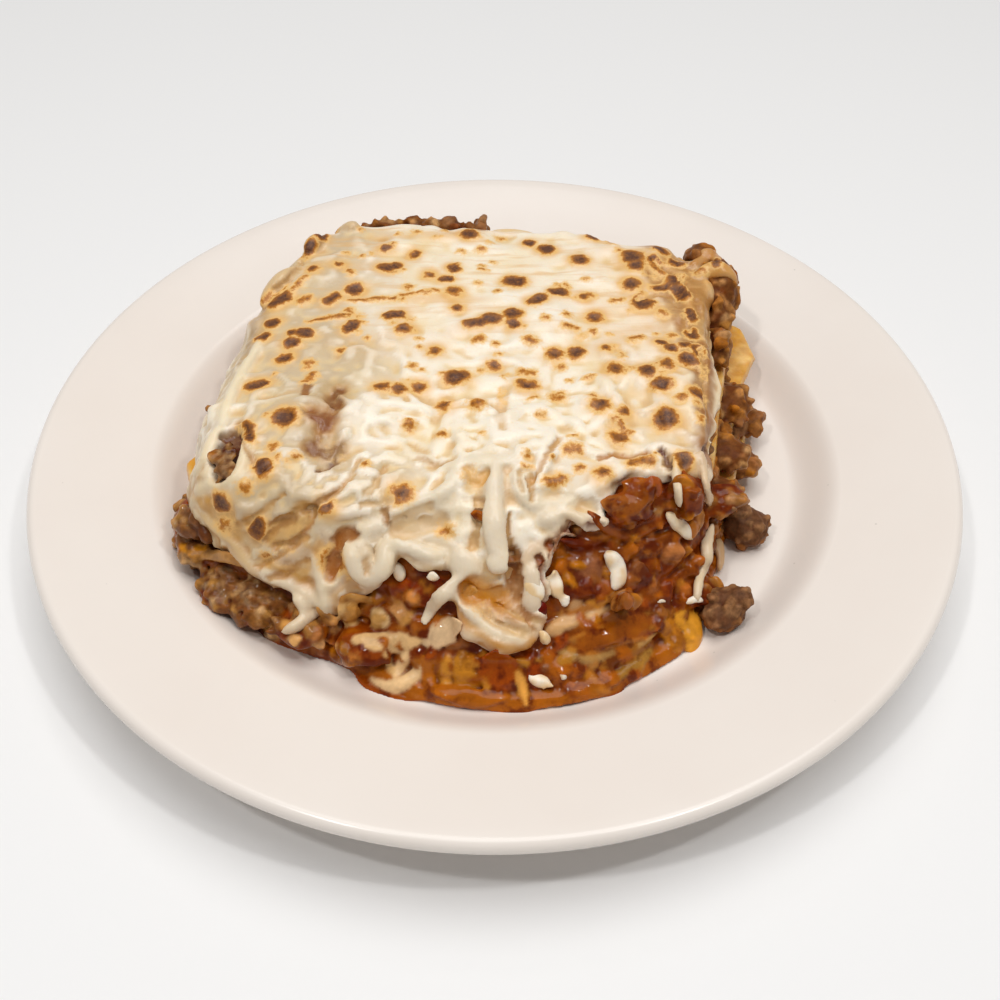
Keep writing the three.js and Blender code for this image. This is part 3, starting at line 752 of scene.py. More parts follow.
# Lumps in the sauce: the pixel at the middle, the half length, half width and half height in
# millimetres, and the colour.
FRONT_LUMPS = [
    (653, 486, 3, 2.4, 1.6, "#9c4a1c"), (671, 490, 2.2, 1.8, 1.6, "#8a3a10"),
    (631, 509, 4.2, 2.6, 1.4, "#8c4a18"), (669, 503, 1.8, 1.5, 1.4, "#b4641c"),
    (656, 516, 1.5, 1.2, 1.1, "#a04c10"), (671, 552, 3.3, 3.2, 2.4, "#b8713a"),
    (648, 534, 1.4, 1.2, 1.2, "#b4682c"), (641, 545, 1.2, 1, 1, "#a85a1c"),
    (646, 552, 1.1, 0.9, 0.9, "#b86c24"), (587, 569, 3.4, 3.8, 2, "#8a5230"),
    (603, 590, 2, 2.4, 1.6, "#8c4416"), (637, 570, 2.6, 2.2, 1.8, "#8a5026"),
    (646, 578, 2, 1.6, 1.5, "#7c3a14"), (653, 588, 2.2, 1.6, 1.4, "#a05a24"),
    (630, 580, 1.8, 1.5, 1.3, "#94501e"), (690, 530, 2.4, 3.2, 1.2, "#b46a24"),
    (699, 520, 2, 2.8, 1.1, "#c07828"), (612, 545, 2.2, 1.6, 1.2, "#8a3a0c"),
    (620, 520, 2, 1.6, 1.3, "#94420e"), (575, 601, 2.6, 1.8, 1.3, "#c09060"),
    (667, 590, 3, 2, 1.3, "#8e3e0a"), (685, 590, 2.2, 1.8, 1.2, "#b06020"),
    (644, 606, 2.4, 1.2, 1, "#a04a10"), (697, 560, 1.8, 2.6, 1.4, "#a85a1a"),
    (401, 609, 2.6, 3, 1.8, "#c48a50"), (413, 598, 2, 2.2, 1.6, "#b87434"),
    (393, 590, 1.8, 1.6, 1.4, "#7c3010"), (441, 625, 2.2, 1.8, 1.4, "#a85c1c"),
    (404, 585, 1.6, 1.4, 1.3, "#8a2c06"), (436, 583, 1.8, 1.4, 1.2, "#7a2406"),
    (420, 590, 1.8, 1.5, 1.2, "#86300a"), (352, 610, 2.4, 3.6, 1.2, "#b8803c"),
    (380, 619, 2.3, 2.6, 1.2, "#c2904e"), (330, 619, 2, 1.8, 1.3, "#c88c4c"),
    (344, 600, 2, 1.6, 1.4, "#b07a3c"), (366, 600, 1.8, 1.6, 1.2, "#b8702c"),
    (300, 612, 2.2, 1.8, 1.6, "#b0521a"), (315, 634, 2.2, 1.8, 1.5, "#a86a38"),
    (296, 640, 2, 1.6, 1.3, "#c89458"), (275, 632, 2, 1.6, 1.3, "#cc9c60"),
    (335, 640, 2.2, 1.6, 1.4, "#9a541c"), (360, 652, 2, 1.6, 1.4, "#8a3c0c"),
    (585, 625, 2.8, 1.6, 1.2, "#a4560e"), (613, 655, 2.4, 1.4, 1.2, "#dcb880"),
    (594, 661, 1.6, 2, 1, "#b87a34"), (541, 608, 1.6, 2, 0.8, "#5c0e02"),
    (548, 655, 2.2, 1.8, 1.2, "#a4500c"), (577, 668, 2.4, 1.8, 1.2, "#a05010"),
    (560, 640, 2.2, 1.6, 1.2, "#9c440a"), (625, 632, 3, 1.4, 1.2, "#b06a24"),
    (655, 622, 2.6, 1.6, 1.2, "#a8561a"),
]
# Clumps of beef at the left foot of the front and in the tear, drier than the rest, in the same form.
# Their colours are those of meat in full light, and keep these shares of red, green and blue.
CLUMP_SHADE = (0.76, 0.72, 0.67)
LEFT_CLUMPS = [
    (228, 585, 3.6, 3.2, 3, "#b0743e"), (221, 603, 3, 2.8, 2.4, "#a86a36"),
    (238, 606, 3, 2.6, 2.4, "#945c2a"), (231, 572, 2.2, 2, 1.8, "#bc8450"),
    (266, 590, 4.2, 3.4, 3, "#a4682e"), (252, 603, 3.2, 2.8, 2.6, "#a86a34"),
    (280, 604, 3.6, 2.8, 2.6, "#9a602c"), (262, 618, 3.4, 2.4, 2.2, "#b07434"),
    (195, 570, 2.8, 2.4, 2.2, "#865024"), (186, 563, 2, 1.8, 1.6, "#945c2c"),
    (209, 576, 2.2, 2, 1.8, "#7c441c"), (198, 525, 3, 2.6, 2.2, "#98643c"),
    (187, 530, 2.4, 2.4, 2, "#a8744a"), (206, 535, 2.4, 2.2, 1.8, "#824e26"),
    (192, 515, 2.2, 2, 1.8, "#a27044"), (222, 466, 1.8, 1.6, 1.4, "#94683e"),
    (230, 470, 1.6, 1.5, 1.4, "#80502a"), (216, 456, 1.5, 1.2, 1.1, "#b8701c"),
    (231, 452, 1.5, 1.3, 1.2, "#6a300e"),
]
# Folds of soft pasta soaked with sauce: pixels, half width, half thickness, and the colour.
FRONT_FOLDS = [
    ([(546, 634), (562, 624), (582, 617), (598, 609), (612, 602)], 1.9, 0.7, "#c89a66"),
    ([(566, 616), (582, 609), (598, 603), (610, 598)], 1.1, 0.7, "#a8682c"),
    ([(566, 646), (584, 636), (606, 630), (630, 624), (648, 622)], 3.8, 1.4, "#9a4e0e"),
    ([(570, 640), (592, 629), (616, 625), (640, 618)], 0.8, 1, "#c47a28"),
    ([(572, 650), (590, 644), (612, 636), (642, 630)], 0.6, 1.1, "#742c04"),
    ([(574, 656), (596, 650), (618, 641), (644, 637)], 0.7, 1, "#b86e22"),
    ([(556, 648), (572, 657), (590, 660), (608, 652), (628, 652), (654, 633)], 1, 0.9, "#b88a4c"),
    ([(600, 670), (612, 658), (632, 650), (646, 644)], 1.6, 0.9, "#9c601e"),
    ([(612, 684), (626, 668), (640, 662), (650, 648)], 1.5, 0.9, "#a0702c"),
    ([(566, 690), (584, 680), (604, 682), (622, 676)], 2.2, 0.9, "#a0560e"),
    ([(560, 612), (556, 596), (564, 584)], 1.2, 0.8, "#7a3c14"),
    ([(470, 512), (490, 520)], 1.2, 0.8, "#9a500e"),
    ([(586, 512), (606, 528), (630, 536), (650, 530)], 1.6, 0.9, "#94480c"),
    ([(600, 500), (616, 512), (640, 516)], 1.2, 0.8, "#b87030"),
    ([(560, 540), (584, 545), (604, 540)], 1.4, 0.8, "#6c2406"),
    ([(676, 612), (688, 622), (694, 638), (690, 656)], 3.4, 1.6, "#d8922a"),
    ([(660, 622), (672, 634), (680, 650)], 2.6, 1.2, "#bc741c"),
    ([(448, 656), (446, 676), (450, 692)], 1.5, 0.9, "#c8842c"),
    ([(464, 652), (463, 668), (468, 684), (474, 692)], 2.5, 0.9, "#b8761e"),
    ([(496, 650), (498, 668), (502, 694)], 4.2, 1.2, "#9c4406"),
    ([(512, 668), (521, 682), (526, 704)], 1.1, 0.8, "#d49440"),
    ([(540, 660), (556, 672), (572, 686), (588, 694)], 2.6, 0.9, "#a4560e"),
    ([(484, 652), (486, 674), (490, 700)], 1.2, 0.9, "#c07a24"),
    ([(530, 652), (534, 668), (538, 690)], 1.6, 0.9, "#8c3604"),
    ([(558, 668), (566, 684), (576, 697)], 1.8, 0.9, "#8c4208"),
    ([(586, 670), (596, 684), (608, 692)], 1.5, 0.9, "#b87022"),
    ([(620, 662), (628, 672), (640, 676)], 1.4, 0.8, "#94480c"),
    ([(430, 650), (426, 668), (432, 690)], 1.6, 0.9, "#a85c10"),
    ([(330, 650), (342, 658), (356, 664)], 1.6, 0.9, "#a4600f"),
    ([(262, 640), (276, 642), (292, 648)], 1.2, 0.7, "#9c5a18"),
    ([(354, 640), (378, 643), (400, 643), (424, 638)], 2.3, 0.7, "#d4aa74"),
    ([(424, 642), (438, 636), (450, 630), (462, 622)], 2.8, 0.8, "#dcb88c"),
    ([(434, 652), (424, 668), (408, 682), (392, 688), (372, 680)], 1.5, 0.9, "#dcb684"),
    ([(408, 652), (403, 664), (394, 678)], 1.2, 0.8, "#dcb480"),
    ([(384, 654), (390, 666), (394, 676)], 0.9, 0.7, "#d0a468"),
    ([(180, 548), (196, 551), (214, 553)], 1.4, 0.8, "#cc841e"),
    ([(430, 690), (452, 694), (476, 699), (508, 698)], 2.2, 1.1, "#a4580c"),
    ([(343, 600), (347, 612), (354, 626)], 2.2, 0.7, "#d0a468"),
    ([(374, 610), (382, 618), (384, 628)], 1.9, 0.8, "#d8b27c"),
    ([(400, 600), (406, 612), (404, 624)], 1.8, 0.7, "#c48a44"),
    ([(346, 594), (362, 598), (378, 600)], 1.1, 0.6, "#b58142"),
    ([(318, 606), (328, 616), (336, 626)], 1.6, 0.7, "#b07c40"),
    ([(262, 632), (276, 626), (292, 624)], 1.4, 0.9, "#c48a44"),
    ([(244, 604), (256, 596), (270, 592)], 1.3, 0.8, "#b8844c"),
    ([(196, 556), (216, 555), (236, 558), (250, 566)], 1.6, 0.8, "#b8854a"),
]
# Where the foot of the food meets the well, from the left round the front, and the pool of sauce there.
FOOT_LINE = [
    (222, 612), (244, 632), (272, 641), (320, 656), (356, 665), (370, 686), (400, 696), (440, 696),
    (464, 703), (526, 712), (536, 700), (575, 695), (615, 694), (624, 684), (650, 668), (684, 647),
]
POOL_HALF_WIDTH, POOL_HALF_DEPTH, POOL_TONE = 3.6 * MM, 0.7 * MM, "#8c3e06"
POOL_OUTSIDE, POOL_STEPS = 1.5 * MM, 6
TOUCHING = 0.05 * MM
FOLD_LIFT = 0.4
# The tear at the left, in which beef shows through the cheese, ends at this row of pixels.
TEAR_FOOT = 480
CLUMP_CRUMBS, CRUMB_SPREAD, CRUMB_SIZES = 16, 2.8, (0.8, 1.7)
# Small lumps fill the front between those, clear of the pool and of the cut, with flat scraps of onion
# and tomato among them.
FILLER_SPACING, FILLER_SIZES = 2.7 * MM, (0.9 * MM, 2.3 * MM)
ABOVE_POOL, FROM_CUT, FRONT_SLOPE = 3 * MM, 1 * MM, 0.97
SCRAPS, SCRAPS_FROM, SCRAPS_TO = 45, (430, 490), (690, 690)
SCRAP_TONES = ["#a8580c", "#8a3c06", "#c07c2a", "#74300a", "#b07424", "#8c4414", "#b06e1c"]

front = None
for node in BEEF_LAYERS + PASTA_SHEETS:
    layer = copy_of(node, "layer")
    move_to(layer, spots_of(layer) + normals_of(layer) * SWELL)
    paint_faces(layer, colour(FRONT_TONES.get(node, SOAKED_BEEF)), 1.0)
    cut = {"plane_co": (0, FRONT_CUT, 0), "plane_no": (0, 1, 0)}
    edit(layer, bpy.ops.mesh.bisect, clear_outer=True, use_fill=True, **cut)
    if front is None:
        front = layer
        front.name = "front_in_sauce"
    else:
        pick(front, layer)
        bpy.ops.object.join()


def on_front(middles, outs):
    clear = (middles[:, 2] > WELL_FLOOR + ABOVE_POOL) & (middles[:, 1] < FRONT_CUT - FROM_CUT)
    return clear & (np.abs(outs[:, 2]) < FRONT_SLOPE)


places = []
for spot, out in scattered(front, FILLER_SPACING, on_front):
    size = dice.uniform(*FILLER_SIZES)
    middle = spot - out * size * dice.uniform(0.2, 0.9)
    if cheese_near.find_nearest(middle)[3] > size:
        sauce = sauciness(middle)
        tone = mixed(pick_tone(BEEF_TONES), pick_tone(SAUCE_TONES), min(1, sauce * dice.uniform(0.6, 1.3)))
        places.append(pebble(middle, size * dice.uniform(0.7, 1.4, 3), tangled(), tone, max(0.3, sauce)))
for x, y, *radii, tone in FRONT_LUMPS:
    places.append(laid_pebble(x, y, radii, tone, 0.95, 0.1 * radii[2]))
for x, y, *radii, code in LEFT_CLUMPS:
    tone = darkened(code, CLUMP_SHADE)
    places.append(laid_pebble(x, y, radii, tone, 0.3, -0.2 * radii[2]))
    for _ in range(CLUMP_CRUMBS):
        dx, dy = dice.normal(0, 1, 2) * radii[0] * CRUMB_SPREAD
        small = dice.uniform(*CRUMB_SIZES) * min(1, radii[0] / 2.4)
        crumb = BEEF_TONES[dice.integers(len(BEEF_TONES))] if dice.uniform() < 0.6 else tone
        size = small * dice.uniform(0.7, 1.3, 3)
        if y < TEAR_FOOT or not on_cheese(x + dx, y + dy):
            places.append(laid_pebble(x + dx, y + dy, size, crumb, 0.3, 0.75 * (radii[2] - small)))
for _ in range(SCRAPS):
    x, y = dice.uniform(SCRAPS_FROM, SCRAPS_TO)
    if not on_cheese(x, y) and food_surface.ray_cast(CAMERA_AT, line_through(x, y))[0]:
        turn = dice.normal(0.25, 0.6)
        across, down = dice.uniform(5, 15) * cos(turn), -dice.uniform(5, 15) * sin(turn)
        line = bar(x, y, across, down, dice.uniform(-6, 6))
        lift = dice.uniform(0.2, 0.9)
        tone = pick_tone(SCRAP_TONES)
        wide, thick = dice.uniform(0.7, 2), dice.uniform(0.4, 0.8)
        places.append(laid_strap(line, wide, thick, tone, lift, ends=0.2))
for line, wide, thick, tone in FRONT_FOLDS:
    places.append(laid_strap(line, wide, thick, colour(tone), FOLD_LIFT, ends=0.35))

foot = np.array([at_height(x, y, WELL_FLOOR) for x, y in FOOT_LINE])
inward = np.array(MIDDLE) - foot
inward[:, 2] = 0
inward /= np.linalg.norm(inward, axis=1)[:, None]
pool = foot + inward * (POOL_HALF_WIDTH - POOL_OUTSIDE) + np.array([0, 0, POOL_HALF_DEPTH * 0.55])
steps = np.linspace(0, len(pool) - 1, POOL_STEPS * len(pool))
pool = np.column_stack([np.interp(steps, range(len(pool)), pool[:, axis]) for axis in range(3)])
up = np.tile([0.0, 0.0, 1.0], (len(pool), 1))
places.append(strap(pool, up, POOL_HALF_WIDTH, POOL_HALF_DEPTH, colour(POOL_TONE), 1.0, 0.4))
tones, wetness = fuse(front, places, FRONT_VOXEL, 0.05 * MM, soften=4)
finish_beef(front, sauce_stuff, tones, wetness)


# The blanket of melted mozzarella: soft and creamy, stretched where it drapes, torn into lobes and
# strands at the front. Shreds that kept their form are straps laid on the food where the photograph
# shows them, or at random among those, and fused with a fine copy of the blanket.
FIRST_VOXEL, CHEESE_VOXEL = 0.8 * MM, 0.65 * MM
# The strands' white is darker than the blanket's white, as painted shade of the lobes at the front.
WHITE, CREAM, TAN, STRAND_WHITE_IN_SHADE = "#fbefdc", "#f2d8a4", "#c0843e", "#e9dabf"
# GREY and TAN also lay painted shade on the blanket, as its colour below says.
GREY, GOLD, STREAK_TONE, MOTTLE_TONE = "#c6ac85", "#e8b060", "#e2b272", "#b48248"

# Each strand is the pixels that it passes over, half its width and half its thickness in millimetres
# and how tan it is, from 0 to 1.
STRANDS = [
    ([(496, 462), (494, 490), (493, 515), (496, 540), (501, 558), (502, 572)], 2.4, 1.7, 0.1),
    ([(497, 552), (503, 572)], 3, 2, 0.1),
    ([(440, 470), (462, 464), (482, 462), (500, 462), (520, 458)], 1.9, 1, 0),
    ([(517, 468), (519, 484), (526, 500), (541, 507), (558, 505), (575, 500)], 1.8, 1.3, 0.05),
    ([(540, 512), (552, 521), (564, 526)], 2.3, 1.2, 0.1),
    ([(560, 512), (573, 514), (586, 522), (598, 524), (607, 521)], 1.1, 0.9, 0.25),
    ([(575, 537), (562, 535), (546, 540), (531, 552), (519, 568)], 1.4, 1, 0.5),
    ([(523, 573), (530, 585), (534, 598), (528, 608)], 2.1, 1.2, 0.3),
    ([(349, 536), (352, 556), (360, 572), (369, 582)], 2, 1.5, 0.1),
    ([(386, 540), (388, 558), (383, 572), (372, 582)], 1.9, 1.4, 0.1),
    ([(364, 540), (364, 556), (368, 572)], 1.6, 1.2, 0.25),
    ([(386, 541), (400, 544), (414, 550), (430, 557), (448, 556)], 1.8, 1.5, 0.05),
    ([(446, 552), (460, 560), (474, 574)], 3.2, 1.6, 0.1),
    ([(478, 560), (462, 578), (446, 592), (434, 604), (424, 624)], 2, 1.3, 0.15),
    ([(455, 596), (468, 611), (482, 622), (497, 632), (522, 640)], 2.1, 1.2, 0.2),
    ([(500, 604), (512, 616), (524, 624), (540, 632)], 1.5, 0.9, 0.7),
    ([(474, 588), (488, 600), (500, 612)], 1.6, 0.8, 0.85),
    ([(526, 566), (536, 580), (546, 596)], 2, 1.3, 0.2),
    ([(262, 573), (276, 579), (294, 586), (310, 594), (324, 608)], 1.6, 1.2, 0.15),
    ([(297, 592), (306, 600), (313, 611), (310, 622)], 1.6, 1.8, 0.15),
    ([(310, 620), (300, 627), (287, 633)], 1.3, 1.7, 0.25),
    ([(350, 558), (340, 572), (331, 583), (320, 592)], 1.7, 1.2, 0.2),
    ([(314, 556), (320, 575), (325, 592), (325, 612)], 1.9, 1.3, 0.1),
    ([(262, 573), (246, 562), (230, 550)], 1.5, 1, 0.6),
    ([(400, 455), (418, 458), (436, 462)], 1.2, 0.8, 0.1),
    ([(457, 468), (452, 486), (437, 498), (418, 504), (400, 512), (384, 524)], 1.9, 1.3, 0),
    ([(384, 524), (366, 530), (350, 536)], 2, 1.2, 0.1),
    ([(673, 462), (677, 480), (682, 496), (684, 506)], 1.4, 1, 0.2),
    ([(698, 455), (701, 486), (706, 505)], 1.3, 0.9, 0.5),
    ([(712, 528), (706, 545), (701, 562), (697, 580), (694, 600)], 1.5, 1.3, 0.25),
    ([(716, 540), (717, 556), (714, 570)], 1.5, 0.9, 0.75),
    ([(560, 545), (548, 556), (538, 570)], 1.2, 0.8, 0.35),
    ([(430, 520), (444, 512), (458, 505)], 1.4, 0.9, 0.05),
    ([(405, 540), (420, 532), (440, 540), (456, 548)], 2, 1.1, 0.15),
    ([(315, 520), (330, 535), (345, 545)], 1.6, 0.9, 0.3),
    ([(280, 560), (296, 552), (312, 548)], 1.6, 0.9, 0.5),
    ([(466, 584), (484, 589), (504, 586)], 0.9, 0.7, 0.8),
    ([(474, 602), (492, 597), (510, 606)], 0.9, 0.7, 0.7),
    ([(460, 590), (470, 604), (486, 612)], 0.9, 0.7, 0.9),
]
# A strand over the sauce lies this many millimetres higher, on the lumps in it.
OVER_SAUCE = 0.8
# Fields of random shreds: two corners in pixels, how many, their turn and how much it varies.
SHRED_FIELDS = [((290, 400), (690, 545), 110, 0, 0.7), ((205, 470), (345, 585), 60, 0.6, 0.35)]
# Flaps of baked crust and dried cheese at the edges: pixels, half width, half thickness and the colour.
CRUSTS = [
    ([(690, 266), (702, 262), (712, 256)], 1.6, 1.2, "#b8741c"),
    ([(696, 276), (710, 270), (724, 270), (734, 280)], 2.3, 1.3, "#c4801c"),
    ([(722, 268), (732, 276), (735, 288)], 1.3, 1, "#a85c14"),
    ([(700, 256), (708, 255), (718, 262)], 2.4, 1.4, "#b8701a"),
    ([(712, 243), (715, 252)], 1.1, 1.3, "#bc781e"),
    ([(714, 250), (716, 258), (720, 266)], 0.9, 0.9, "#bc781e"),
    ([(300, 268), (286, 279), (274, 290), (262, 306)], 2.4, 1.8, "#d8b27c"),
    ([(322, 240), (313, 246), (309, 254)], 2.4, 2.2, "#bc8c54"),
    ([(334, 232), (346, 228), (358, 230)], 2.2, 1.8, "#d2ae7c"),
    ([(492, 226), (512, 223), (534, 227)], 2, 1.5, "#e4c490"),
    ([(222, 428), (211, 446), (205, 462), (196, 476)], 1.6, 1.2, "#f0dcb8"),
    ([(240, 432), (246, 448), (244, 464), (236, 480), (214, 484), (198, 490)], 1.6, 1.2, "#ecd6b0"),
    ([(200, 506), (212, 522), (230, 538), (246, 558), (258, 574)], 1.4, 1.1, "#dcb680"),
    ([(262, 338), (250, 360), (236, 384), (226, 408), (222, 428)], 1.2, 0.9, "#f0dfbc"),
]

blanket = copy_of("cheese_blanket", "cheese_melted")
modify(blanket, "REMESH", mode="VOXEL", voxel_size=FIRST_VOXEL)
modify(blanket, "SMOOTH", factor=0.5, iterations=8)
paint_faces(blanket, colour(WHITE), 0.0)
shreds = []
for line, wide, thick, tan in STRANDS:
    lift = 0.35 * thick + (0 if on_cheese(*line[len(line) // 2]) else OVER_SAUCE)
    # A strand's colour runs from that darker white, which is painted shade, to tan.
    shreds.append(laid_strap(line, wide, thick, mixed(colour(STRAND_WHITE_IN_SHADE), colour(TAN), tan), lift))
for corner, far_corner, count, lean, spread in SHRED_FIELDS:
    for _ in range(count):
        x, y = dice.uniform(corner, far_corner)
        turn = dice.normal(lean, spread)
        half, bend = dice.uniform(10, 28), dice.uniform(-6, 6)
        line = bar(x, y, half * cos(turn), -half * sin(turn), bend)
        if all(on_cheese(*pixel) for pixel in line):
            lift, wide = dice.uniform(-0.2, 0.4), dice.uniform(0.8, 1.7)
            shreds.append(laid_strap(line, wide, 0.65 * wide, colour(WHITE), lift, 0.0, 0.3))
for line, wide, thick, tone in CRUSTS:
    shreds.append(laid_strap(line, wide, thick, colour(tone), 0.3 * thick))
# Strands and crusts have a wetness of 1, by which their own colour is told from the blanket's.
tones, own = fuse(blanket, shreds, CHEESE_VOXEL, soften=2)
cheese_surface = tree_of(blanket)

# Browned spots, by how dark they are, each as the pixel at its middle, its half length and half width
# in pixels, and its turn in degrees.
CHARRED = [
    (335, 229, 6, 4, 20), (310, 246, 10, 4, 65), (386, 267, 8, 5, 0), (396, 265, 5, 4, 30),
    (454, 269, 5, 3, -45), (446, 280, 7, 2.5, 10), (470, 237, 9, 6, -40), (355, 290, 8, 5, 35),
    (280, 301, 13, 5, 30), (394, 316, 11, 3.5, 5), (351, 327, 9, 4, 40), (273, 323, 6, 4, 15),
    (263, 336, 5, 4.5, 20), (305, 334, 7, 4.5, 0), (293, 334, 3, 2.5, 0), (292, 344, 7, 4.5, 0),
    (284, 359, 8, 4.5, 10), (457, 377, 12, 7, 25), (475, 325, 11, 3.5, 5), (490, 320, 8, 6, 0),
    (257, 387, 11, 4.5, 15), (286, 420, 11, 8, -20), (247, 434, 11, 4.5, -70), (263, 470, 10, 4.5, -65),
    (258, 528, 9, 5, 90), (222, 502, 8, 6, 0), (515, 281, 12, 8, -10), (546, 250, 9, 5.5, -25),
    (529, 243, 4, 3, 0), (579, 261, 8, 6, -40), (632, 258, 12, 9, -60), (636, 268, 6, 5, 0),
    (660, 252, 8, 3.5, -20), (631, 285, 8, 6.5, -30), (675, 280, 8, 6, -60), (663, 286, 9, 2.5, 10),
    (681, 293, 12, 4, -50), (558, 293, 9, 4, 0), (537, 301, 9, 4, 20), (643, 304, 12, 7, -35),
    (513, 315, 9, 6, 10), (513, 325, 5, 3.5, 0), (690, 316, 8, 5, -60), (692, 334, 9, 4, -60),
    (576, 352, 8, 5.5, 70), (688, 361, 8, 6, -40), (671, 350, 5, 3.5, -40), (662, 344, 4, 2.5, -30),
    (647, 372, 6, 6, 0), (661, 386, 9, 6, -25), (698, 395, 8, 7, 0), (698, 352, 7, 3.5, -70),
    (655, 262, 7, 3, -30), (676, 262, 8, 3, -25), (322, 236, 5, 3, 10), (666, 419, 9, 8.5, 0),
    (683, 462, 7, 5.5, 80), (684, 348, 3, 2, 0),
]
BROWNED = [
    (313, 271, 4.5, 4, 0), (339, 266, 4, 2.5, 0), (386, 248, 5, 3, 0), (416, 254, 5.5, 4, 40),
    (430, 276, 4.5, 4, 0), (454, 292, 7, 5.5, 0), (458, 309, 5, 4.5, 0), (332, 300, 10, 3.5, 30),
    (405, 330, 7, 5, 0), (435, 352, 5.5, 4, 90), (382, 386, 8, 4.5, 10), (400, 389, 6, 4.5, 0),
    (419, 387, 6, 4, 0), (444, 405, 6, 5, 90), (595, 317, 8, 6.5, -20), (555, 354, 9, 7, -40),
    (615, 371, 8, 7, 0), (527, 386, 10, 6, 0), (618, 438, 9, 7, -20), (601, 407, 8, 7, 60),
    (494, 365, 5, 4.5, 0), (401, 494, 9, 8, 60), (603, 476, 6, 5, 0), (584, 297, 4, 3.5, 0),
    (592, 238, 7, 3, -5), (326, 506, 6, 4.5, -50), (624, 412, 5, 4, -60), (668, 366, 6, 4, 90),
    (606, 349, 4, 3, 0), (488, 322, 16, 4, 12), (335, 560, 4, 10, 0), (716, 262, 5, 3, 60),
]
GOLDEN = [
    (350, 274, 6, 3, -30), (409, 287, 5, 3, 0), (349, 312, 6, 3, 10), (478, 340, 8, 3, 15),
    (340, 349, 5, 2, 10), (309, 364, 6, 3, 10), (412, 367, 3.5, 3, 0), (310, 380, 10, 4, 60),
    (477, 405, 10, 7, 0), (409, 425, 7, 4, 70), (440, 435, 4, 3, 0), (274, 449, 7, 3.5, 80),
    (328, 448, 6, 4, -10), (338, 452, 8, 3, -20), (365, 465, 4, 3, 0), (305, 300, 10, 4, 20),
    (501, 236, 5, 3, 0), (612, 242, 4, 4, 0), (591, 295, 4, 3, 0), (617, 301, 7, 3, 0), (663, 315, 5, 5, 0),
    (545, 320, 3, 3, 0), (567, 316, 3, 3, 0), (570, 328, 10, 2.5, -10), (593, 332, 4, 2, 80),
    (636, 340, 10, 4, 15), (671, 336, 4, 4, 0), (531, 341, 8, 4, -30), (560, 366, 3, 3, 0),
    (526, 373, 10, 3, 0), (558, 397, 9, 6, 10), (592, 399, 4, 3, 0), (573, 451, 11, 5, 0),
    (580, 469, 5, 3, 0), (556, 480, 14, 5, 10), (481, 250, 5, 3, 10), (484, 270, 4, 1.5, 0),
    (497, 292, 3, 3, 0), (496, 344, 3, 2, 0), (502, 396, 9, 1.5, 90), (622, 425, 14, 2.5, -40),
    (244, 487, 6, 5, 0), (225, 525, 9, 6, 0), (470, 475, 9, 5, -20), (445, 530, 9, 5, -10),
    (285, 545, 8, 4, 0), (266, 555, 6, 3, -20), (185, 497, 6, 3, 50), (640, 462, 16, 4, 10),
    (372, 300, 30, 1.5, 4), (420, 294, 24, 1.2, 4), (330, 318, 24, 1.5, 6), (590, 225, 14, 2, -10),
    (700, 270, 8, 4, 0), (300, 285, 12, 2, 40), (280, 290, 10, 2, 40), (655, 268, 14, 3, -30),
    (488, 597, 16, 12, -20), (300, 530, 3, 2, 0), (700, 420, 5, 2, 80), (704, 372, 8, 2, -75),
    (680, 400, 5, 3, 0), (268, 296, 12, 3, 35),
]
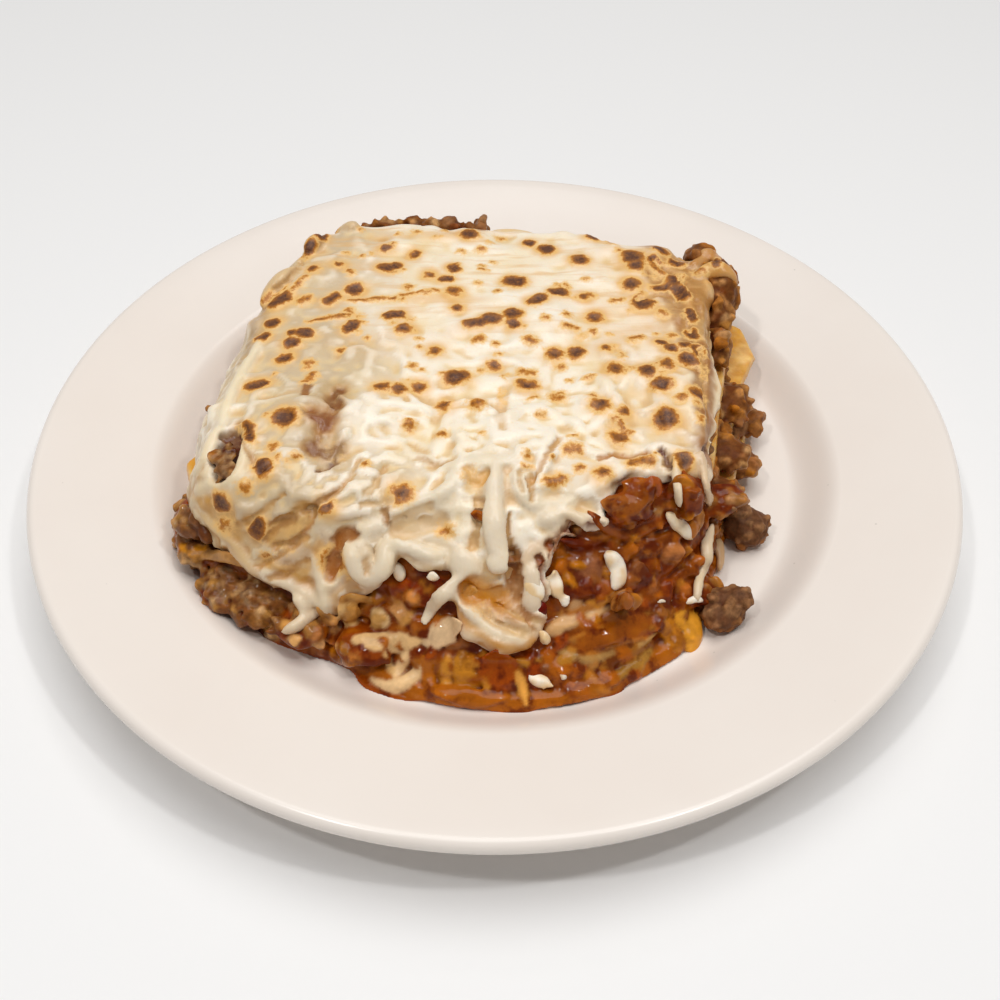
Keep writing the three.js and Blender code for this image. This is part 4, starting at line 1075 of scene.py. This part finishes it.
# Places pressed into the cheese: pixels along each, half its width and its depth in millimetres, the
# colour at its bottom and how much of it shows. They are the tear at the left, the thin places where
# meat shows, creases, the hollows at the front, and tints that are hardly pressed in.
PRESSED = [
    ([(233, 438), (229, 450), (224, 462), (222, 472)], 2.6, 2.6, "#5c2408", 1),
    ([(336, 388), (326, 408), (320, 432), (332, 456)], 4.6, 0.5, "#bd9c6c", 0.75),
    ([(341, 388), (331, 394), (336, 404)], 2.2, 0.1, "#cc9448", 0.8),
    ([(312, 412), (320, 418), (328, 412), (326, 426)], 2.8, 0.1, "#c88c40", 0.8),
    ([(312, 446), (326, 452), (340, 447)], 2.7, 0.1, "#cc9650", 0.8),
    ([(341, 388), (331, 394), (336, 404)], 1.7, 0.5, "#7a4210", 0.95),
    ([(308, 386), (306, 394)], 1.1, 0.4, "#945a20", 0.9),
    ([(312, 412), (320, 418), (328, 412), (326, 424)], 2, 0.6, "#844414", 0.95),
    ([(316, 428), (318, 438)], 1.2, 0.4, "#a06a34", 0.85),
    ([(312, 446), (326, 452), (340, 447)], 2, 0.5, "#7c461a", 0.95),
    ([(306, 246), (290, 268), (270, 292), (258, 320), (248, 350)], 2.6, 0.2, "#b8966c", 0.6),
    ([(276, 290), (262, 310), (250, 335), (240, 362)], 1.2, 0.2, "#9a7248", 0.5),
    ([(470, 600), (486, 614), (500, 628), (520, 636)], 5.5, 0.2, "#c4821e", 0.95),
    ([(505, 604), (520, 616), (536, 626)], 2.8, 0.3, "#b06c1c", 0.9),
    ([(478, 596), (496, 606), (514, 612)], 2.4, 0.4, "#c08028", 0.7),
    ([(488, 618), (506, 630), (522, 634)], 1.3, 0.4, "#d0a468", 0.6),
    ([(440, 570), (452, 580), (462, 592)], 1.6, 0.3, "#c99a5e", 0.7),
    ([(410, 556), (424, 562), (436, 572)], 1.6, 0.3, "#d2ab74", 0.6),
    ([(300, 548), (312, 560), (318, 576)], 2.4, 0.3, "#d09c50", 0.7),
    ([(270, 560), (286, 566), (300, 574)], 2, 0.3, "#d0983e", 0.7),
    ([(196, 470), (200, 490), (214, 512), (232, 530)], 3.2, 0.3, "#c8903e", 0.85),
    ([(376, 222), (400, 224), (430, 225), (460, 228), (482, 231)], 1.2, 0.1, "#9a5a2c", 0.7),
    ([(640, 240), (665, 252), (690, 268)], 3, 0.2, "#b07c40", 0.8),
    ([(690, 270), (700, 300), (704, 330)], 2.2, 0.3, "#b07c3e", 0.85),
    ([(655, 275), (672, 300), (688, 330), (694, 360)], 2.8, 0.1, "#aa7238", 0.85),
    ([(700, 350), (707, 390), (709, 430), (706, 455)], 3.4, 0.3, "#9c6228", 0.95),
    ([(478, 608), (495, 622), (515, 632)], 0.5, 0.5, "#d8b078", 0.7),
    ([(500, 606), (520, 618), (538, 622)], 0.5, 0.6, "#c89858", 0.8),
    ([(520, 606), (530, 616), (533, 630)], 0.6, 0.9, "#a8662a", 0.8),
    ([(348, 479), (336, 490), (322, 500), (314, 506), (290, 515), (270, 525)], 0.8, 0.9, "#b57f45", 0.9),
    ([(315, 514), (306, 530), (292, 542), (275, 547)], 0.9, 1, "#a86a30", 0.9),
    ([(304, 512), (290, 528), (276, 538)], 2.6, 0.5, "#d4a256", 0.8),
    ([(506, 388), (503, 400), (500, 412), (503, 429)], 1.3, 0.45, "#d4b080", 0.5),
    ([(318, 471), (329, 464), (336, 458)], 0.6, 0.6, "#6c3a1c", 0.9),
    ([(417, 457), (436, 463), (450, 459)], 0.5, 0.5, "#c49a68", 0.7),
    ([(599, 459), (613, 456), (631, 457), (649, 454)], 0.6, 0.7, "#b07030", 0.9),
    ([(531, 477), (532, 498)], 0.6, 0.8, "#b4803c", 0.8),
    ([(558, 441), (546, 454), (541, 466), (532, 477)], 0.6, 0.6, "#c08c4c", 0.8),
    ([(661, 452), (666, 460), (669, 468)], 0.9, 1.2, "#5c1c04", 1),
    ([(704, 452), (709, 448)], 0.9, 1, "#5c2808", 1),
    ([(240, 424), (247, 450), (256, 466)], 0.5, 0.5, "#b08050", 0.8),
    ([(384, 510), (386, 520), (390, 527)], 0.7, 1, "#a87038", 0.9),
    ([(267, 538), (285, 524), (313, 508)], 0.7, 0.6, "#b47c3c", 0.8),
    ([(258, 566), (283, 552), (307, 538)], 0.7, 0.6, "#c08840", 0.8),
    ([(238, 528), (262, 512), (282, 494)], 0.7, 0.5, "#c89450", 0.7),
    ([(268, 580), (290, 572), (306, 560)], 0.7, 0.6, "#b8803c", 0.8),
    ([(352, 535), (344, 532), (338, 544), (334, 560), (330, 575)], 1.6, 1.8, "#a4601c", 1),
    ([(366, 560), (368, 574)], 0.6, 0.8, "#c8a070", 0.8),
    ([(474, 590), (486, 594), (498, 598)], 3.1, 1.6, "#c8801a", 1),
    ([(562, 538), (578, 533), (594, 527)], 1.8, 2, "#84330a", 1),
    ([(550, 545), (556, 560), (552, 580)], 1.5, 1.8, "#94480e", 1),
    ([(512, 556), (514, 576), (516, 596)], 1.6, 2, "#9c5c20", 1),
    ([(508, 515), (509, 535), (511, 552)], 0.8, 1.2, "#c49a64", 0.8),
    ([(480, 500), (478, 525), (472, 548)], 1.2, 1.2, "#d2ae7c", 0.8),
    ([(466, 470), (474, 480), (486, 474)], 1.4, 0.9, "#d8a458", 0.9),
    ([(398, 532), (420, 527), (440, 520)], 2, 1, "#dcbc8e", 0.8),
    ([(396, 520), (410, 515), (430, 508)], 1.2, 0.9, "#dcbc8e", 0.7),
    ([(540, 560), (545, 580), (546, 604)], 1, 1.6, "#8c3c08", 1),
    ([(520, 470), (521, 490)], 0.6, 0.8, "#cca672", 0.8),
    ([(262, 400), (284, 398), (300, 392)], 0.5, 0.4, "#caa478", 0.6),
    ([(360, 462), (350, 476), (342, 486)], 0.6, 0.5, "#c8a070", 0.7),
    ([(384, 470), (376, 484), (366, 492)], 0.5, 0.5, "#c8a070", 0.7),
    ([(362, 505), (380, 502), (392, 500)], 0.5, 0.5, "#c8a070", 0.6),
    ([(600, 492), (618, 482), (640, 472)], 0.7, 0.5, "#d4b080", 0.6),
    ([(640, 300), (660, 292), (676, 302), (690, 330)], 0.7, 0.6, "#b88850", 0.7),
    ([(655, 262), (672, 272), (690, 290), (700, 316)], 0.8, 0.6, "#a8743c", 0.7),
    ([(300, 262), (292, 276), (276, 290)], 0.9, 0.7, "#b98c58", 0.7),
    ([(700, 350), (706, 380), (708, 420)], 0.8, 0.7, "#b98648", 0.8),
]
# No mark reaches further than REACH. A mark is brown in its middle and fades over its halo, in
# millimetres. Marks are drawn rounder and wider than they were measured, as warping thins their edges.
REACH = 6 * MM
HALO, WIDE_HALO = 1.3, 3.6
ROUNDER, WIDER, PIXELS_PER_MM = 0.82, 1.22, 4.2
WARP_GRAIN, WARP_REACH = 1.8 * MM, 0.55 * MM
FLECKS, FLECKS_FROM, FLECKS_TO = 100, (260, 230), (700, 470)
# The least half width of a crease, and the depth up to which a pressed place is only a tint, which
# lies under the toast and leaves strands their own colour.
CREASE, TINT_DEPTH = 0.8, 0.3


def away_from(spots, line):
    """How far places are from a line of pixels on the cheese, in millimetres, or 1000 when far away."""
    away = np.full(len(spots), 1000.0)
    along, _ = laid_line(line, 0, cheese_surface, 8)
    inside = np.all((spots > along.min(axis=0) - REACH) & (spots < along.max(axis=0) + REACH), axis=1)
    gaps = np.linalg.norm(spots[inside][:, None] - along[None], axis=2)
    away[inside] = gaps.min(axis=1) / MM
    return away


def browned(spots, marks, strength, halo=HALO):
    """How brown each place is: the marks' strength at their middles, falling to 0 round them."""
    highest = np.zeros(len(spots))
    for x, y, long, short, turn in marks:
        reach = max(ROUNDER * long - short, 0.1)
        line = bar(x, y, reach * cos(radians(turn)), -reach * sin(radians(turn)))
        edge = WIDER * short / PIXELS_PER_MM
        share = np.clip(1 - away_from(spots, line) / (edge * 1.3 + halo), 0, 1)
        highest = np.maximum(highest, strength * share)
    return highest


spots, out = spots_of(blanket), normals_of(blanket)
rightward, backward, _ = spots.T
warped = spots + np.column_stack([rough(spots, WARP_GRAIN, seed, 2) for seed in (31, 32, 33)]) * WARP_REACH
flecks = []
for _ in range(FLECKS):
    x, y = dice.uniform(FLECKS_FROM, FLECKS_TO)
    flecks.append((x, y, dice.uniform(1, 5), dice.uniform(0.8, 2), dice.normal(0, 20)))
glow = browned(spots, CHARRED + BROWNED, 1, WIDE_HALO)
kinds = ((CHARRED, 1.45), (BROWNED, 1.12), (GOLDEN, 0.75), (flecks, 0.62))
toast = np.clip(np.max([browned(warped, *kind) for kind in kinds], axis=0), 0, 1)

# The relief, in millimetres: swells of 10 and 5 mm, finer ones and wrinkles at the front, a lumpy outer
# edge, pulled streaks at the back, and blisters with sunken tops where it is toasted.
back = eased(backward, -12 * MM, 30 * MM)
outer = eased(np.hypot(rightward - MIDDLE.x, backward - MIDDLE.y), 44 * MM, 60 * MM)
wrinkle = 1 - np.abs(rough(spots * np.array([0.8, 1, 1]), 5.5 * MM, 45, 2))
relief = 0.7 * rough(spots, 10 * MM, 41) + 0.35 * rough(spots, 5 * MM, 42)
relief += (0.24 - 0.12 * back) * rough(spots, 2.4 * MM, 43)
relief += 0.6 * (1 - back) * (eased(wrinkle, 0.4, 1) - 0.3)
relief += 1.3 * outer * rough(spots, 7 * MM, 46) + 0.5 * outer * rough(spots, 3.5 * MM, 47)
relief += 0.09 * back * rough(spots * np.array([0.16, 1, 1]), 1.6 * MM, 44)
relief += 0.35 * eased(toast, 0.15, 0.6) - 0.25 * eased(toast, 0.75, 1)
relief *= 1 - 0.7 * own
pressed_tone = np.zeros((len(spots), 4))
pressed_share = np.zeros(len(spots))
sunken_share = np.zeros(len(spots))
for line, half, depth, tone, shown in PRESSED:
    half = max(half, CREASE)
    inside = 1 - eased(away_from(warped, line), 0.55 * half, 1.35 * half)
    relief -= depth * inside
    sunken = depth > TINT_DEPTH
    share = shown * inside * (1 if sunken else 1 - own)
    pressed_tone = mixed(pressed_tone, colour(tone), share[:, None])
    pressed_share = np.maximum(pressed_share, share)
    sunken_share = np.maximum(sunken_share, share * sunken)
move_to(blanket, spots + out * relief[:, None] * MM)
modify(blanket, "SMOOTH", factor=0.4, iterations=1)
smooth(blanket)

# The colour, by the share of each tone: yellower at the right edge, browner at the edges, and golden round
# the marks and in streaks. Yellower and browner at the hem and greyer at the left and the front are partly
# the cheese's own tone and partly painted shade. Painted shade also makes hollows yellower and browner
# and faces that turn down browner, and a painted highlight makes crests less brown and less grey.
spots = spots_of(blanket)
rightward, backward, height = spots.T
hollow = hollows_of(blanket, 12)
# How far each face turns down, for the painted shade under it.
underside_shade = eased(-normals_of(blanket)[:, 2], -0.5, 0.4)
hem = 1 - eased(height, 22 * MM, 37 * MM)
left_hem = hem * eased(-rightward, -10 * MM, 35 * MM)
right_edge = eased(rightward, 34 * MM, 52 * MM)
# The hem is yellower, partly the cheese's own tone and partly painted shade.
yellow_and_shade = 0.12 * back + 0.35 * hem + 0.5 * right_edge + 0.4 * rough(spots, 11 * MM, 51, 2)
# Painted shade makes hollows yellower.
yellow_and_shade += 0.8 * eased(hollow, 0.02, 0.25)
# Browner at the edges; at the left hem this is partly the cheese's own tone and partly painted shade.
browner_and_shade = 0.55 * left_hem + 0.6 * right_edge * back + 0.3 * rough(spots, 8 * MM, 53, 2) * (hem + right_edge)
# Painted shade makes hollows browner, and a painted highlight makes crests less brown.
browner_and_shade += 0.5 * eased(hollow, 0.08, 0.4) - 0.5 * eased(-hollow, 0, 0.2)
# Painted shade makes faces that turn down browner, most at the hem.
browner_and_shade += 0.55 * underside_shade * (0.4 + 0.6 * hem)
edge_streaks = 0.45 + 1.1 * rough(spots * np.array([1, 0.4, 1]), 4 * MM, 60, 2)
browner_and_shade += 0.75 * eased(rightward, 40 * MM, 53 * MM) * np.clip(edge_streaks, 0, 1)
gold = eased(glow, 0.05, 0.75) * (0.75 + 0.5 * rough(spots, 5 * MM, 57))
gold += 0.75 * eased(rough(spots * np.array([0.3, 1, 1]), 7 * MM, 58, 2), 0, 0.9) * back
gold += 0.5 * eased(rightward, 12 * MM, 44 * MM) * (0.4 + 0.6 * back) * (0.8 + 0.5 * rough(spots, 4 * MM, 62))
# Greyer at the left and the front, partly the cheese's own tone and partly painted shade.
grey_and_shade = 0.9 * eased(-rightward, 14 * MM, 46 * MM) + 0.55 * (1 - eased(backward, -46 * MM, -20 * MM))
# A painted highlight makes crests less grey.
grey_and_shade += 0.45 * rough(spots, 13 * MM, 59, 2) * (1 - 0.6 * back) - 0.6 * eased(-hollow, 0, 0.15)
body = np.tile(colour(WHITE), (len(spots), 1))
for share, tone in ((grey_and_shade, GREY), (yellow_and_shade, CREAM), (0.85 * gold, GOLD), (browner_and_shade, TAN)):
    body = mixed(body, colour(tone), np.clip(share, 0, 0.85)[:, None])
own = 0.8 * np.clip(own, 0, 1)
body = mixed(body, tones, own[:, None])
body = mixed(body, pressed_tone / np.maximum(pressed_tone[:, 3:], 0.01), pressed_share[:, None])
store(blanket, "paint", body)
store(blanket, "toast", toast * (1 - sunken_share))
store(blanket, "streaky", back * (1 - own))

# Mozzarella, melted and baked: creamy and slightly translucent, tan where it dried, golden round its
# blisters and dark brown on top of them, with a thin film of fat that gives a soft shine. The paint that
# it reads also holds painted shade and painted highlights.
# Each step of toasting has the levels at which it starts and is full, and its colour.
TOAST_STEPS = [
    (0.02, 0.46, "#eebf76"), (0.38, 0.6, "#c07a24"), (0.56, 0.8, "#8a5420"), (0.84, 1.05, "#5c3520"),
]
cheese_stuff, tree, shader, place = made_of("melted mozzarella")
tone = add(tree, "Attribute", take="Color", attribute_name="paint")
toast_share = add(tree, "Attribute", take="Fac", attribute_name="toast")
streaky = add(tree, "Attribute", take="Fac", attribute_name="streaky")
cloud = add(tree, "TexNoise", {"Vector": place, "Scale": 1 / (6 * MM), "Detail": 5})
clouds = add(tree, "MapRange", {"Value": cloud, "From Min": 0.45, "From Max": 0.75, "To Max": 0.28})
stretch = add(tree, "Mapping", {"Vector": place, "Scale": (0.12, 1, 1)})
streak = add(tree, "TexNoise", {"Vector": stretch, "Scale": 1 / (2 * MM), "Detail": 5})
streaks = add(tree, "MapRange", {"Value": streak, "From Min": 0.54, "From Max": 0.72, "To Max": 0.6})
streaks = add(tree, "Math", {0: streaks, 1: streaky}, operation="MULTIPLY")
edge = add(tree, "TexNoise", {"Vector": place, "Scale": 1 / (1 * MM), "Detail": 6, "Roughness": 0.65})
edge_part = add(tree, "MapRange", {"Value": edge, "From Min": 0.25, "From Max": 0.75, "To Min": -0.2,
                                   "To Max": 0.2})
level = add(tree, "Math", {0: toast_share, 1: edge_part}, operation="ADD")
mottle = add(tree, "TexNoise", {"Vector": place, "Scale": 1 / (0.7 * MM), "Detail": 4, "Roughness": 0.7})
mottled = add(tree, "MapRange", {"Value": mottle, "From Min": 0.55, "From Max": 0.75, "To Max": 0.5})
mottled = add(tree, "Math", {0: mottled, 1: toast_share}, operation="MULTIPLY")
coats = [(clouds, CREAM), (streaks, STREAK_TONE)]
for low, high, code in TOAST_STEPS:
    step = add(tree, "MapRange", {"Value": level, "From Min": low, "From Max": high},
               interpolation_type="SMOOTHSTEP")
    coats.append((step, code))
for share, code in coats + [(mottled, MOTTLE_TONE)]:
    tone = add(tree, "Mix", {0: share, 6: tone, 7: colour(code)}, 2, data_type="RGBA")
fine = add(tree, "TexNoise", {"Vector": place, "Scale": 1 / (0.9 * MM), "Detail": 4})
bump = add(tree, "Bump", {"Height": fine, "Strength": 0.35, "Distance": 0.2 * MM})
dullness = add(tree, "MapRange", {"Value": toast_share, "To Min": 0.3, "To Max": 0.48})
feed(tree, shader, {"Base Color": tone, "Roughness": dullness, "Normal": bump, "IOR": 1.42})
feed(tree, shader, {"Subsurface Weight": 0.15, "Subsurface Radius": (1, 0.75, 0.5),
                    "Subsurface Scale": 0.8 * MM})
blanket.data.materials.append(cheese_stuff)
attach(blanket, "root")
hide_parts("cheese_blanket")


# Loose bits of the same cheese lie in the sauce at the front: thick white slivers and some nuggets that
# didn't melt. Each is a strap or a pebble on the front's surface, and they are fused into one piece.
# Slivers are given by pixels, half width and half thickness, nuggets by a pixel and three radii.
SLIVERS = [
    ([(604, 552), (611, 558), (616, 568), (617, 580), (612, 589)], 2.1, 1.4),
    ([(664, 513), (674, 521), (682, 530), (690, 539)], 1.7, 1.1),
    ([(399, 562), (400, 572), (402, 582)], 1.5, 1.1),
    ([(549, 572), (554, 583), (559, 596)], 2, 1.1),
    ([(530, 576), (533, 588), (540, 600)], 2.2, 1),
    ([(556, 668), (563, 674), (563, 684)], 0.9, 0.8),
    ([(684, 602), (694, 599), (701, 600)], 0.9, 0.7),
    ([(654, 603), (662, 600), (670, 601)], 0.8, 0.6),
]
NUGGETS = [
    (433, 573, 1.6, 1.4, 1.1), (543, 637, 2.2, 1.4, 1.2), (542, 681, 3, 1.6, 1.3), (563, 598, 2.2, 1.6, 1),
]
BITS_VOXEL, BIT_LIFT, BIT_CREAM = 0.4 * MM, 0.4, "#e8c694"

shapes = [laid_pebble(x, y, radii, WHITE, 0, 0.3 * radii[2] + BIT_LIFT) for x, y, *radii in NUGGETS]
for line, wide, thick in SLIVERS:
    shapes.append(laid_strap(line, wide, thick, colour(WHITE), 0.6 * thick + BIT_LIFT, 0, 0.35))
bits = gathered("cheese_bits", shapes[:1])
fuse(bits, shapes[1:], BITS_VOXEL, soften=2)
tint = eased(rough(spots_of(bits), 3 * MM, 61, 2), -0.2, 0.8)
store(bits, "paint", mixed(colour(WHITE), colour(BIT_CREAM), tint[:, None]))
store(bits, "toast", 0 * tint)
store(bits, "streaky", 0 * tint)
bits.data.materials.append(cheese_stuff)
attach(bits, "root")
